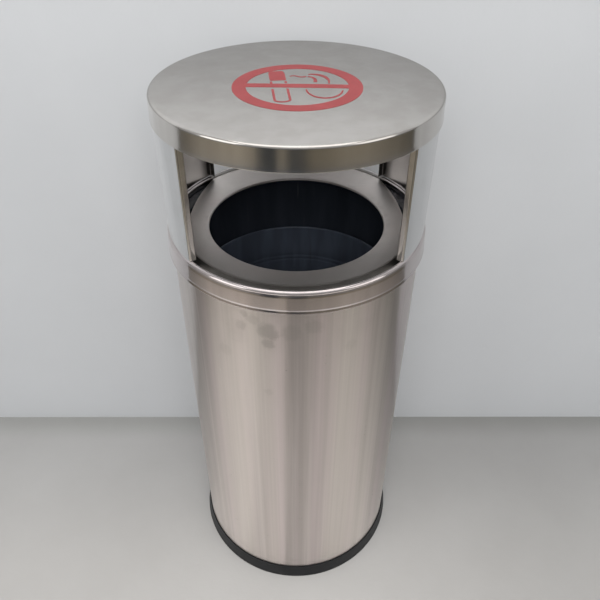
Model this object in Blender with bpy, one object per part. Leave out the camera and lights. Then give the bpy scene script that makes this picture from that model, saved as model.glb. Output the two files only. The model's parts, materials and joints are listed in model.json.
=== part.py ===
"""Round stainless-steel litter bin: a lift-off hood with two windows, a loose
aperture plate, and a lift-out bucket inside a floor-standing cylindrical body.

Metres, +Z up.  The origin is on the floor at the bin's centre line, the front
window faces -Y and the rear window +Y.  Left is -X and right is +X.
"""
import math

import bmesh
import bpy
from mathutils import Matrix, Vector

# --------------------------------------------------------------------------
# Shared dimensions
# --------------------------------------------------------------------------
FACETS = 64                 # segments in every full turn
SHEET = 0.0008              # gauge of the stainless sheet
GAP = 0.0004                # fit between neighbouring pieces
SIDES = (("left", -1.0), ("right", 1.0))

FOOT_FLANGE_T = 0.0040      # floor flange of the rubber ring, under the body

BODY_R = 0.1750             # outside radius of the cylindrical body
BODY_FOOT_Z = FOOT_FLANGE_T + GAP
BODY_MID_Z = 0.3350         # extra row of vertices up the wall
BODY_TOP_Z = 0.6680         # upper edge of the shell, hidden in the collar
BODY_FIT_R = BODY_R - SHEET - GAP   # outside radius of pieces fitted in the body

LEDGE_TOP_Z = 0.6616        # ledge that carries the hood and the plate
ON_LEDGE_Z = LEDGE_TOP_Z + GAP      # foot of the pieces that stand on it

COLLAR_LIP_Z = 0.6387       # lower lip of the hood's collar
COLLAR_TOP_Z = 0.6719       # crest of the rolled top: the window sill
PANEL_R = 0.17755           # outside radius of the two hood side panels

CAP_R = 0.1797              # cap skirt
CAP_EDGE_Z = 0.8557         # where the flat top meets the rounded edge
CAP_EDGE_RAD = 0.0050
CAP_CROWN = 0.0015          # rise of the lid from its edge to its centre
LID_R = CAP_R - CAP_EDGE_RAD        # lid inside the rounded edge

BUCKET_FOOT_Z = 0.0064
BAIL_Z = 0.5596             # axis of the bucket handle
BAIL_WIRE = 0.0018          # radius of the handle wire

# --------------------------------------------------------------------------
# Clean file and materials
# --------------------------------------------------------------------------
for old in list(bpy.data.objects):
    bpy.data.objects.remove(old, do_unlink=True)


def material(name, colour, roughness, metallic=0.0):
    mat = bpy.data.materials.new(name)
    mat.use_nodes = True
    bsdf = mat.node_tree.nodes["Principled BSDF"]
    bsdf.inputs["Base Color"].default_value = (*colour, 1.0)
    bsdf.inputs["Roughness"].default_value = roughness
    bsdf.inputs["Metallic"].default_value = metallic
    return mat


BRUSHED = material("brushed_stainless", colour=(0.56, 0.54, 0.51), roughness=0.30, metallic=1.0)
POLISHED = material("polished_stainless", colour=(0.62, 0.60, 0.57), roughness=0.12, metallic=1.0)
SATIN = material("satin_stainless", colour=(0.52, 0.50, 0.47), roughness=0.35, metallic=1.0)
BLACK = material("black_enamel", colour=(0.010, 0.012, 0.018), roughness=0.18)
RUBBER = material("black_rubber", colour=(0.020, 0.021, 0.024), roughness=0.65)
WIRE = material("zinc_wire", colour=(0.45, 0.45, 0.46), roughness=0.40, metallic=1.0)
RED = material("red_vinyl", colour=(0.48, 0.075, 0.080), roughness=0.45)
GALVANISED = material("galvanised_sheet", colour=(0.42, 0.43, 0.44), roughness=0.45, metallic=1.0)


# --------------------------------------------------------------------------
# Helpers
# --------------------------------------------------------------------------
def make_object(name, bm, mat, sharp=32.0):
    """Turn a bmesh into a named object, smooth with creases above `sharp` degrees."""
    bmesh.ops.remove_doubles(bm, verts=bm.verts[:], dist=1e-6)
    bmesh.ops.recalc_face_normals(bm, faces=bm.faces[:])
    if bm.calc_volume(signed=True) < 0.0:
        bmesh.ops.reverse_faces(bm, faces=bm.faces[:])
    mesh = bpy.data.meshes.new(name)
    bm.to_mesh(mesh)
    bm.free()
    mesh.materials.append(mat)
    mesh.shade_smooth()
    mesh.set_sharp_from_angle(angle=math.radians(sharp))
    obj = bpy.data.objects.new(name, mesh)
    bpy.context.collection.objects.link(obj)
    return obj


def ellipse_arc(centre, radii, start, end, steps):
    """steps + 1 points of an arc in a plane, from start to end in degrees."""
    points = []
    for i in range(steps + 1):
        angle = math.radians(start + (end - start) * i / steps)
        points.append((centre[0] + radii[0] * math.cos(angle),
                       centre[1] + radii[1] * math.sin(angle)))
    return points


def arc(centre, radius, start, end, steps):
    """Circular case of ellipse_arc."""
    return ellipse_arc(centre, (radius, radius), start, end, steps)


def turned(name, profile, mat, steps=FACETS):
    """Spin a (radius, height) profile about Z.  A profile whose two ends lie
    on the axis makes a disc, any other profile is closed into a ring."""
    bm = bmesh.new()
    verts = [bm.verts.new((r, 0.0, z)) for r, z in profile]
    for a, b in zip(verts, verts[1:]):
        bm.edges.new((a, b))
    if profile[0][0] > 0.0:
        bm.edges.new((verts[-1], verts[0]))
    bmesh.ops.spin(bm, geom=bm.verts[:] + bm.edges[:], cent=(0, 0, 0),
                   axis=(0, 0, 1), dvec=(0, 0, 0), angle=2 * math.pi,
                   steps=steps, use_merge=True, use_duplicate=False)
    return make_object(name, bm, mat)


def bridge(bm, ring_a, ring_b):
    """Join two closed rings of equal length with quads."""
    count = len(ring_a)
    for i in range(count):
        j = (i + 1) % count
        bm.faces.new((ring_a[i], ring_a[j], ring_b[j], ring_b[i]))


def ring_loft(name, rings, mat):
    """Skin a closed stack of closed rings (every ring has equal length)."""
    bm = bmesh.new()
    loops = [[bm.verts.new(p) for p in ring] for ring in rings]
    for a, b in zip(loops, loops[1:] + loops[:1]):
        bridge(bm, a, b)
    return make_object(name, bm, mat)


def extrude(bm, faces, offset):
    """Give flat faces a thickness along `offset`."""
    extruded = bmesh.ops.extrude_face_region(bm, geom=faces)
    bmesh.ops.translate(bm, vec=offset,
                        verts=[item for item in extruded["geom"]
                               if isinstance(item, bmesh.types.BMVert)])


def ribbon(name, path, thickness, z0, z1, mat):
    """Sheet standing on edge: an open plan path given thickness and height."""
    points = [Vector(p) for p in path]
    steps = [(b - a).normalized() for a, b in zip(points, points[1:])]
    bm = bmesh.new()
    pairs = []
    for i, p in enumerate(points):
        before = steps[max(i - 1, 0)]
        after = steps[min(i, len(steps) - 1)]
        along = (before + after).normalized()
        # mitre so that the gauge stays even through a bend
        mitre = 1.0 / along.dot(before)
        offset = Vector((-along.y, along.x)) * thickness * 0.5 * mitre
        pairs.append([bm.verts.new((q.x, q.y, z0)) for q in (p + offset, p - offset)])
    faces = [bm.faces.new((a[0], a[1], b[1], b[0])) for a, b in zip(pairs, pairs[1:])]
    extrude(bm, faces, (0, 0, z1 - z0))
    return make_object(name, bm, mat)


def flat_tube(name, stations, z, sides, mat):
    """Round wire swept at height z along (x, y, wire radius) stations."""
    bm = bmesh.new()
    path = [Vector((x, y, z)) for x, y, _ in stations]
    rings = []
    for i, (_, _, radius) in enumerate(stations):
        along = (path[min(i + 1, len(path) - 1)] - path[max(i - 1, 0)]).normalized()
        across = Vector((-along.y, along.x, 0.0))
        ring = []
        for k in range(sides):
            angle = 2 * math.pi * k / sides
            ring.append(bm.verts.new(path[i] + across * radius * math.cos(angle)
                                     + Vector((0, 0, 1)) * radius * math.sin(angle)))
        rings.append(ring)
    for a, b in zip(rings, rings[1:]):
        bridge(bm, a, b)
    bm.faces.new(rings[0])
    bm.faces.new(rings[-1])
    return make_object(name, bm, mat, sharp=40.0)


def boolean(obj, tool, name, operation):
    """Cut or join with a tool object, which stays as a wire guide."""
    tool.hide_render = True
    tool.display_type = "WIRE"
    mod = obj.modifiers.new(name, "BOOLEAN")
    mod.operation = operation
    mod.solver = "EXACT"
    mod.object = tool


def x_drill(name, location, radius, length):
    """Cylindrical cutter lying along X."""
    bm = bmesh.new()
    bmesh.ops.create_cone(bm, cap_ends=True, segments=12, radius1=radius,
                          radius2=radius, depth=length)
    bmesh.ops.rotate(bm, verts=bm.verts[:], cent=(0, 0, 0),
                     matrix=Matrix.Rotation(math.pi / 2, 3, "Y"))
    obj = make_object(name, bm, WIRE)
    obj.location = location
    return obj


def pivot(name, z):
    """Empty on the centre line that a group of pieces moves with."""
    empty = bpy.data.objects.new(name, None)
    empty.location = (0.0, 0.0, z)
    empty.empty_display_size = 0.05
    bpy.context.collection.objects.link(empty)
    return empty


def attach(obj, empty):
    """Parent a piece modelled in bin coordinates to a motion axis."""
    at = Vector(empty.location)
    if obj.location.length < 1e-9:
        obj.data.transform(Matrix.Translation(-at))
    else:
        obj.location = Vector(obj.location) - at
    obj.parent = empty


# --------------------------------------------------------------------------
# Body: shell, ledge, base plate, rubber ring
# --------------------------------------------------------------------------
LEDGE_IN_R = 0.1572
LEDGE_LEG_Z = 0.6400        # lower edge of the ledge's downturned leg
LEDGE_LEG_T = 0.0010
LEDGE_T = 0.0012

BASE_Z = 0.0052             # underside of the base plate
BASE_FLANGE_Z = 0.0180      # top of its upturned flange
BASE_FLANGE_T = 0.0010      # flange at its foot; it thins to SHEET at the top
BASE_OUT_BEVEL = 0.0014     # outer and inner corner between plate and flange
BASE_IN_BEVEL = 0.0012

FOOT_R = 0.1814             # floor radius of the rubber base ring
FOOT_TOP_R = 0.1770         # the ring tapers in to this radius
FOOT_H = 0.0258
FOOT_LIP_R = 0.1655         # inner radius of the ring's floor flange


def build_body_shell():
    inner = BODY_R - SHEET
    turned("body_shell", [
        (BODY_R, BODY_TOP_Z), (BODY_R, BODY_MID_Z), (BODY_R, BODY_FOOT_Z),
        (inner, BODY_FOOT_Z), (inner, BODY_MID_Z), (inner, BODY_TOP_Z),
    ], BRUSHED)


def build_ledge():
    leg_in_r = BODY_FIT_R - LEDGE_LEG_T
    turned("plate_ledge", [
        (BODY_FIT_R, LEDGE_TOP_Z), (BODY_FIT_R, LEDGE_LEG_Z),
        (leg_in_r, LEDGE_LEG_Z), (leg_in_r, LEDGE_TOP_Z - LEDGE_T),
        (LEDGE_IN_R, LEDGE_TOP_Z - LEDGE_T), (LEDGE_IN_R, LEDGE_TOP_Z),
    ], BLACK)


def build_base_plate():
    top = BASE_Z + SHEET
    flange_in_r = BODY_FIT_R - BASE_FLANGE_T
    turned("base_plate", [
        (0.0, top), (flange_in_r - BASE_IN_BEVEL, top),
        (flange_in_r, top + BASE_IN_BEVEL),
        (BODY_FIT_R - SHEET, BASE_FLANGE_Z), (BODY_FIT_R, BASE_FLANGE_Z),
        (BODY_FIT_R, BASE_Z + BASE_OUT_BEVEL), (BODY_FIT_R - BASE_OUT_BEVEL, BASE_Z),
        (0.0, BASE_Z),
    ], GALVANISED)


def build_base_ring():
    # small bevels ease the outer corners at the top and at the floor
    turned("base_ring", [
        (BODY_R + GAP, FOOT_H), (FOOT_TOP_R - 0.0004, FOOT_H),
        (FOOT_TOP_R, FOOT_H - 0.0008), (FOOT_R, 0.0020),
        (FOOT_R - 0.0006, 0.0), (FOOT_LIP_R, 0.0),
        (FOOT_LIP_R, FOOT_FLANGE_T), (BODY_R + GAP, FOOT_FLANGE_T),
    ], RUBBER)


build_body_shell()
build_ledge()
build_base_plate()
build_base_ring()

# --------------------------------------------------------------------------
# Hood: collar, two panels, cap, sign
# --------------------------------------------------------------------------
COLLAR_LIP_R = 0.1813       # radius of the collar's lower lip
COLLAR_TOP_R = 0.1796       # radius of the collar just under its rolled top
COLLAR_IN_R = 0.1727        # radius of the collar's inner wall (visible face)
COLLAR_ROLL_H = 0.0034      # height of the rolled top
OGEE_LOW_Z = 0.6500         # the outside narrows between these heights
OGEE_HIGH_Z = 0.6600

PANEL_T = 0.0009
PANEL_RETURN_R = 0.1687     # inner radius of the folded window returns
PANEL_BEND = 0.0020         # bend radius between panel and return
PANEL_TOP_Z = 0.8530
WINDOW_HALF_DEG = 48.5      # half angle of each window, front and rear

CAP_LIP_R = 0.1806          # hemmed lower edge of the skirt
CAP_LIP_Z = 0.8260

SIGN_R = 0.0786             # prohibition sign
SIGN_IN_R = 0.0620
SIGN_X = 0.0010
SIGN_Y = -0.0142
SIGN_T = 0.0003
SIGN_Z = CAP_EDGE_Z + CAP_CROWN + 0.0003    # underside, just clear of the lid
# Shapes joined to the sign's ring: name, centre x and y from the sign's
# centre, half length along x and y, turn about Z in radians.
SIGN_SHAPES = (
    ("bar_guide", 0.0, 0.0, SIGN_IN_R + 0.004, 0.0062, -0.03),
    ("tube_guide", -0.016, -0.001, 0.0075, 0.040, 0.06),
)


def collar_outside(z):
    """Outer radius of the collar: a soft ogee up to the roll."""
    s = (z - OGEE_LOW_Z) / (OGEE_HIGH_Z - OGEE_LOW_Z)
    s = s * s * (3.0 - 2.0 * s)
    return COLLAR_LIP_R + (COLLAR_TOP_R - COLLAR_LIP_R) * s


def build_collar():
    roll_r = 0.5 * (COLLAR_TOP_R - COLLAR_IN_R)
    centre = (0.5 * (COLLAR_TOP_R + COLLAR_IN_R), COLLAR_TOP_Z - COLLAR_ROLL_H)
    outer_roll = (roll_r, COLLAR_ROLL_H)
    inner_roll = (roll_r - SHEET, COLLAR_ROLL_H - SHEET)
    levels = (OGEE_HIGH_Z, 0.5 * (OGEE_LOW_Z + OGEE_HIGH_Z), OGEE_LOW_Z)
    profile = ellipse_arc(centre, outer_roll, 90, 0, 4)
    profile += [(collar_outside(z), z) for z in levels]
    profile += [(COLLAR_LIP_R, COLLAR_LIP_Z), (COLLAR_LIP_R - SHEET, COLLAR_LIP_Z)]
    profile += [(collar_outside(z) - SHEET, z) for z in reversed(levels)]
    profile += ellipse_arc(centre, inner_roll, 0, 180, 4)
    profile += [(COLLAR_IN_R + SHEET, ON_LEDGE_Z), (COLLAR_IN_R, ON_LEDGE_Z)]
    profile += ellipse_arc(centre, outer_roll, 180, 112.5, 3)
    return turned("collar_band", profile, POLISHED)


def panel_path(side):
    """Plan line of one side panel, from the front return to the rear one.
    Azimuth is measured from the front (-Y) towards the panel's side."""
    mid = PANEL_R - PANEL_T * 0.5
    bend_r = mid - PANEL_BEND           # radius where the return starts to bend
    bend_angle = PANEL_BEND / mid
    return_az = math.radians(WINDOW_HALF_DEG) + 0.5 * PANEL_T / mid

    # (radius, azimuth) of the front return and its bend
    front = [(PANEL_RETURN_R + (bend_r - PANEL_RETURN_R) * k / 2, return_az)
             for k in range(3)]
    for k in range(1, 4):
        turn = math.pi / 2 * k / 3
        front.append((mid - PANEL_BEND * (1 - math.sin(turn)),
                      return_az + bend_angle * (1 - math.cos(turn))))
    rear = [(radius, math.pi - azimuth) for radius, azimuth in reversed(front)]

    steps = 16
    start = return_az + bend_angle
    sweep = math.pi - 2 * start
    face = [(mid, start + sweep * k / steps) for k in range(1, steps)]
    return [(side * radius * math.sin(azimuth), -radius * math.cos(azimuth))
            for radius, azimuth in front + face + rear]


def build_panel(label, side):
    return ribbon(label + "_panel", panel_path(side), PANEL_T, COLLAR_TOP_Z + GAP,
                  PANEL_TOP_Z, POLISHED)


def crown(r):
    """Height of the lid's top face at a radius."""
    return CAP_EDGE_Z + CAP_CROWN * (1.0 - (r / LID_R) ** 2)


def build_cap():
    lid_radii = [LID_R * k / 3 for k in range(3)]
    edge_centre = (LID_R, CAP_EDGE_Z - CAP_EDGE_RAD)
    # hem at the foot of the skirt: radius, height above the lip
    hem = (
        (CAP_R, 0.0060), (CAP_LIP_R, 0.0030), (CAP_LIP_R, 0.0012),
        (CAP_LIP_R - 0.0012, 0.0), (PANEL_R + GAP, 0.0012),
        (PANEL_R + GAP, 0.0040), (CAP_R - SHEET, 0.0066),
    )
    profile = [(r, crown(r)) for r in lid_radii]
    profile += arc(edge_centre, CAP_EDGE_RAD, 90, 0, 4)
    profile += [(r, CAP_LIP_Z + rise) for r, rise in hem]
    profile += arc(edge_centre, CAP_EDGE_RAD - SHEET, 0, 90, 3)
    profile += [(r, crown(r) - SHEET) for r in reversed(lid_radii)]
    return turned("top_cap", profile, BRUSHED)


def sign_shape(name, x, y, half_x, half_y, angle):
    """Upright box as thick as the sign, turned about Z."""
    bm = bmesh.new()
    verts = bmesh.ops.create_cube(bm, size=1.0)["verts"]
    bmesh.ops.scale(bm, vec=(2 * half_x, 2 * half_y, SIGN_T), verts=verts)
    bmesh.ops.rotate(bm, verts=verts, cent=(0, 0, 0),
                     matrix=Matrix.Rotation(angle, 3, "Z"))
    bmesh.ops.translate(bm, verts=verts,
                        vec=(SIGN_X + x, SIGN_Y + y, SIGN_Z + 0.5 * SIGN_T))
    return make_object(name, bm, RED)


def build_sign():
    """One die-cut film: a ring, a bar across it, and a plain tube shape that
    crosses the bar, so that everything hangs together."""
    top = SIGN_Z + SIGN_T
    sign = turned("no_smoking_sign", [
        (SIGN_R, top), (SIGN_R, SIGN_Z), (SIGN_IN_R, SIGN_Z), (SIGN_IN_R, top),
    ], RED, steps=48)
    sign.data.transform(Matrix.Translation((SIGN_X, SIGN_Y, 0.0)))
    for shape in SIGN_SHAPES:
        boolean(sign, sign_shape(*shape), "join", "UNION")
    return sign


hood_axis = pivot("hood_axis", COLLAR_LIP_Z)
attach(build_collar(), hood_axis)
for side_label, side_sign in SIDES:
    attach(build_panel(side_label, side_sign), hood_axis)
attach(build_cap(), hood_axis)
attach(build_sign(), hood_axis)

# --------------------------------------------------------------------------
# Aperture plate: a shallow dished ring whose border falls to the ledge at the
# front, with a folded edge and two finger cut-outs, left and right
# --------------------------------------------------------------------------
PLATE_R = 0.1712            # front and rear arcs
PLATE_CREASE_R = 0.1605     # the border lies outside this radius
PLATE_CREASE_INSET = 0.0020 # crease to edge along the cut-outs
PLATE_SIDE_X = 0.1503       # half width across the two finger cut-outs
PLATE_SIDE_RAD = 0.3080     # radius of the cut-out edges
PLATE_T = 0.0010
PLATE_EDGE_Z = 0.66737      # top of the plate at the crease
HOLE_R = 0.1228             # rubbish hole
HOLE_Z = 0.6630             # level from which the hole's lip is measured
DISH_R = HOLE_R + 0.0052    # where the dished face meets the hole's lip
DISH_Z = HOLE_Z + 0.0003

BORDER_FALL = (PLATE_EDGE_Z - ON_LEDGE_Z - PLATE_T) / (PLATE_R - PLATE_CREASE_R)
DISH_SLOPE = (PLATE_EDGE_Z - DISH_Z) / (PLATE_CREASE_R - DISH_R)


def plate_edge(phi):
    """Outline radius in direction phi: round, cut back left and right by a
    large-radius arc."""
    centre_x = PLATE_SIDE_X - PLATE_SIDE_RAD
    projected = centre_x * abs(math.cos(phi))
    side = projected + math.sqrt(projected ** 2 - centre_x ** 2 + PLATE_SIDE_RAD ** 2)
    return min(PLATE_R, side)


def border_top(r, phi):
    """Top of the plate: level up to the crease, then falling to the ledge at
    the front and rising at the dish's slope at the rear."""
    out = max(0.0, r - PLATE_CREASE_R)
    return PLATE_EDGE_Z + (DISH_SLOPE if math.sin(phi) > 0.0 else -BORDER_FALL) * out


def plate_ring(radius_at, height_at):
    """Closed ring from a radius by direction and a height by radius and direction."""
    ring = []
    for k in range(FACETS):
        phi = 2 * math.pi * k / FACETS
        r = radius_at(phi)
        ring.append((r * math.cos(phi), r * math.sin(phi), height_at(r, phi)))
    return ring


def edge_ring(inset, drop):
    """Ring set in from the cut edge and dropped below the top face."""
    return plate_ring(lambda phi: plate_edge(phi) - inset,
                      lambda r, phi: border_top(r, phi) - drop)


def edge_foot_ring(inset):
    """Ring set in from the cut edge, at the foot of the folded edge."""
    return plate_ring(lambda phi: plate_edge(phi) - inset, lambda r, phi: ON_LEDGE_Z)


def crease_ring(drop):
    return plate_ring(lambda phi: min(PLATE_CREASE_R, plate_edge(phi) - PLATE_CREASE_INSET),
                      lambda r, phi: border_top(r, phi) - drop)


def hole_ring(radius, z):
    return plate_ring(lambda phi: radius, lambda r, phi: z)


def build_aperture_plate():
    # in over the top face, down round the hole's lip, back out underneath
    return ring_loft("aperture_plate", [
        edge_foot_ring(0.0),
        edge_ring(0.0, 0.0003),
        edge_ring(0.0004, 0.0),
        crease_ring(0.0),
        hole_ring(DISH_R, DISH_Z),
        hole_ring(HOLE_R + 0.0010, HOLE_Z - 0.0004),
        hole_ring(HOLE_R, HOLE_Z - 0.0020),
        hole_ring(HOLE_R + 0.0004, HOLE_Z - 0.0034),
        hole_ring(HOLE_R + 0.0014, HOLE_Z - 0.0034),
        hole_ring(HOLE_R + 0.0011, HOLE_Z - 0.0020),
        hole_ring(DISH_R, DISH_Z - PLATE_T),
        crease_ring(PLATE_T),
        edge_ring(PLATE_T, PLATE_T),
        edge_foot_ring(PLATE_T),
    ], SATIN)


attach(build_aperture_plate(), pivot("plate_axis", ON_LEDGE_Z))

# --------------------------------------------------------------------------
# Bucket: tapered wall with a wired rim, bottom pan, ears, rivets
# --------------------------------------------------------------------------
BUCKET_TOP_R = 0.1511       # bucket wall, outside, under the rim
BUCKET_FOOT_R = 0.1400      # bucket wall, outside, at its foot
BUCKET_MID_Z = 0.28         # extra row of vertices up the wall
RIM_CENTRE = (0.1528, 0.5547)   # radius and height of the wired rim's centre line
RIM_ROLL = 0.0025           # outside radius of the rim's roll
RIM_WIRE = 0.0013

PAN_Z = 0.0150              # top face of the bucket's bottom
PAN_SKIRT_Z = 0.0070        # lower edge of its skirt

EAR_X = 0.1490              # outer face of each ear
EAR_T = 0.0015
EAR_HALF = 0.0105           # half width of the riveted foot
EAR_FOOT_Z = 0.5300
EAR_BEVEL = 0.002           # bevelled corners of the foot
EAR_SHOULDER_Z = 0.5450
EAR_LOBE_R = 0.0070         # lobe round the handle hole
BAIL_DRILL_LENGTH = 0.012

RIVET_Z = 0.5380
RIVET_Y = 0.0060            # rivets sit this far in front of and behind centre
RIVET_R = 0.0019            # shank
RIVET_X = 0.1454            # inner end of each rivet
RIVET_DRILL_LENGTH = 0.014
# Radius, distance from the rivet's inner end
RIVET_PROFILE = (
    (0.0, 0.0078), (0.0026, 0.0074), (0.0037, 0.0061), (RIVET_R, 0.0061),
    (RIVET_R, 0.0014), (0.0037, 0.0014), (0.0026, 0.0003), (0.0, 0.0),
)


def build_bucket():
    taper = (BUCKET_TOP_R - BUCKET_FOOT_R) / (RIM_CENTRE[1] - BUCKET_FOOT_Z)
    wall = [(BUCKET_FOOT_R + taper * (z - BUCKET_FOOT_Z), z)
            for z in (BUCKET_MID_Z, BUCKET_FOOT_Z)]
    profile = arc(RIM_CENTRE, RIM_ROLL, 90, -95, 4)
    profile += arc(RIM_CENTRE, RIM_ROLL - SHEET, -95, 180, 6)
    profile += wall
    profile += [(r - SHEET, z) for r, z in reversed(wall)]
    profile += arc(RIM_CENTRE, RIM_ROLL, 180, 135, 1)
    return turned("inner_bucket", profile, BLACK)


def build_rim_wire():
    """Five-sided wire inside the rim's roll."""
    return turned("rim_wire", arc(RIM_CENTRE, RIM_WIRE, 90, -198, 4), WIRE)


def build_bucket_bottom():
    pan_r = BUCKET_FOOT_R - SHEET - GAP
    under = PAN_Z - SHEET
    return turned("bucket_bottom", [
        (0.0, PAN_Z), (pan_r - 0.0015, PAN_Z), (pan_r, PAN_Z - 0.0012),
        (pan_r, PAN_SKIRT_Z), (pan_r - SHEET, PAN_SKIRT_Z),
        (pan_r - SHEET, under - 0.0008), (pan_r - 0.0018, under), (0.0, under),
    ], BLACK)


def ear_outline():
    """Ear as (y, z): a rounded lobe round the handle hole, widening down to
    the riveted foot."""
    bevel_y = EAR_HALF - EAR_BEVEL
    bevel_z = EAR_FOOT_Z + EAR_BEVEL
    return [(-bevel_y, EAR_FOOT_Z), (bevel_y, EAR_FOOT_Z), (EAR_HALF, bevel_z),
            (EAR_HALF, EAR_SHOULDER_Z),
            *arc((0.0, BAIL_Z), EAR_LOBE_R, 10, 170, 8),
            (-EAR_HALF, EAR_SHOULDER_Z), (-EAR_HALF, bevel_z)]


def build_ear(label, side):
    bm = bmesh.new()
    inner_x = side * (EAR_X - EAR_T)
    face = bm.faces.new([bm.verts.new((inner_x, y, z)) for y, z in ear_outline()])
    extrude(bm, [face], (side * EAR_T, 0, 0))
    ear = make_object(label + "_ear", bm, BLACK)
    drill = x_drill(label + "_bail_drill", (side * (EAR_X - EAR_T / 2), 0.0, BAIL_Z),
                    BAIL_WIRE + GAP, BAIL_DRILL_LENGTH)
    boolean(ear, drill, "bore", "DIFFERENCE")
    return ear


def build_rivet(name, side, y):
    rivet = turned(name, RIVET_PROFILE, WIRE, steps=12)
    rivet.rotation_euler = (0.0, side * math.pi / 2, 0.0)
    rivet.location = (side * RIVET_X, y, RIVET_Z)
    return rivet


bucket_axis = pivot("bucket_axis", BUCKET_FOOT_Z)
bucket = build_bucket()
attach(bucket, bucket_axis)
attach(build_rim_wire(), bucket_axis)
attach(build_bucket_bottom(), bucket_axis)
for side_label, side_sign in SIDES:
    bucket_ear = build_ear(side_label, side_sign)
    for end_label, rivet_y in (("front", -RIVET_Y), ("rear", RIVET_Y)):
        rivet_drill = x_drill(f"{side_label}_{end_label}_drill",
                              (side_sign * EAR_X, rivet_y, RIVET_Z),
                              RIVET_R + GAP, RIVET_DRILL_LENGTH)
        for drilled in (bucket_ear, bucket):
            boolean(drilled, rivet_drill, "bore", "DIFFERENCE")
        attach(build_rivet(f"{side_label}_ear_rivet_{end_label}", side_sign, rivet_y),
               bucket_axis)
    attach(bucket_ear, bucket_axis)

# --------------------------------------------------------------------------
# Handle: a wire bow round the front whose ends pass through the ears
# --------------------------------------------------------------------------
BAIL_R = 0.1528             # bow radius
BAIL_TURN = 0.0040          # radius of the turn from each end into the bow
# Thickened end inside each ear: x, radius
BAIL_END = ((0.1440, 0.0018), (0.1441, 0.0030), (0.1456, 0.0030), (0.1457, BAIL_WIRE))


def build_handle():
    turn_x = BAIL_R - BAIL_TURN
    bow_start = math.degrees(math.asin(BAIL_TURN / BAIL_R))
    wire = [(turn_x, 0.0)]
    wire += arc((turn_x, -BAIL_TURN), BAIL_TURN, 90, 0, 4)[1:]
    wire += arc((0.0, 0.0), BAIL_R, -bow_start, -90, 16)[1:]
    right = [(x, 0.0, radius) for x, radius in BAIL_END]
    right += [(x, y, BAIL_WIRE) for x, y in wire]
    left = [(-x, y, radius) for x, y, radius in reversed(right[:-1])]
    return flat_tube("bucket_handle", right + left, BAIL_Z, sides=8, mat=WIRE)


attach(build_handle(), pivot("handle_axis", BAIL_Z))
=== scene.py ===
"""Litter bin: steel body on a rubber ring, hood with two side panels and a lid, an
aperture plate, and a lined bucket with a wire handle.

It stands on z = 0 with its axis on Z.  The front faces -Y, the weld seams are at
the rear (+Y), and left is -X.  Metres throughout.
"""

import json
import math
from functools import reduce

import bmesh
import bpy
from mathutils import Matrix, Vector, noise


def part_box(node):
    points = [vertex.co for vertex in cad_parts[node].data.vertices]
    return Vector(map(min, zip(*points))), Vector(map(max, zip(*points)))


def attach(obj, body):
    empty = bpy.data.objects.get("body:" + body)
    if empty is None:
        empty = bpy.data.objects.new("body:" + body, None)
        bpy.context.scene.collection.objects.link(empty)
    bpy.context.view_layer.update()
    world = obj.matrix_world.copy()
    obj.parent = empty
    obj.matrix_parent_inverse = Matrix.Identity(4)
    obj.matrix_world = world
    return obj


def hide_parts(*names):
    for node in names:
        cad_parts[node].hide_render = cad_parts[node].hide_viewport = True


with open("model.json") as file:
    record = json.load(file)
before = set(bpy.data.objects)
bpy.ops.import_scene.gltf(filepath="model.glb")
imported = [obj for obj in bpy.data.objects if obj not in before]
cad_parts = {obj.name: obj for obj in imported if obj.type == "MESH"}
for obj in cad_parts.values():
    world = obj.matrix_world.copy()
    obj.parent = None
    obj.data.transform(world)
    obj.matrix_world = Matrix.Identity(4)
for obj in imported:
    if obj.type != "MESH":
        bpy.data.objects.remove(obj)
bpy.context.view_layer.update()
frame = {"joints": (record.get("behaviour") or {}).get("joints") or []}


def box_min(node):
    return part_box(node)[0]


def box_max(node):
    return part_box(node)[1]


def box_mid(node):
    return 0.5 * (box_min(node) + box_max(node))


# ---- Driving sizes, read off the frame: _R is a radius, _Z0 and _Z1 are heights ----
SEGS = 384
SHEET = 0.0008
REAR = math.pi / 2

BODY_R = box_max("body_shell").x
BODY_Z0, BODY_Z1 = box_min("body_shell").z, box_max("body_shell").z
FOOT_R, FOOT_H = box_max("base_ring").x, box_max("base_ring").z
COLLAR_R = box_max("collar_band").x
COLLAR_Z0, COLLAR_Z1 = box_min("collar_band").z, box_max("collar_band").z
COLLAR_TOP_R = COLLAR_R - 0.0017
COLLAR_IN_R = COLLAR_R - 0.0086
CAP_R = box_max("top_cap").x - 0.0009
CAP_Z0, CAP_Z1 = box_min("top_cap").z, box_max("top_cap").z
CAP_CROWN = 0.0015
CAP_EDGE_Z = CAP_Z1 - CAP_CROWN
CAP_EDGE_RAD = 0.0040
PANEL_R = box_max("right_panel").x
PANEL_Z0, PANEL_Z1 = box_min("right_panel").z, box_max("right_panel").z
LEDGE_R = box_max("plate_ledge").x
LEDGE_Z0, LEDGE_Z1 = box_min("plate_ledge").z, box_max("plate_ledge").z
SEAT_Z = LEDGE_Z1 + 0.0004      # collar and plate stand just clear of the ledge
PLATE_Z0 = box_min("aperture_plate").z
PLATE_R = box_max("aperture_plate").y
PLATE_SIDE_X = box_max("aperture_plate").x
PLATE_T = 0.0010
CREASE_R = PLATE_R - 0.0107
BUCKET_Z0 = box_min("inner_bucket").z
PAN_Z0, PAN_Z1 = box_min("bucket_bottom").z, box_max("bucket_bottom").z
SIGN_X, SIGN_Y = box_mid("no_smoking_sign").x, box_mid("no_smoking_sign").y
SIGN_R = 0.5 * (box_max("no_smoking_sign").x - box_min("no_smoking_sign").x)
BAIL_Z = next((joint["pos_m"][2] for joint in frame["joints"]
               if joint["name"] == "handle_swing"), box_mid("bucket_handle").z)


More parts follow.
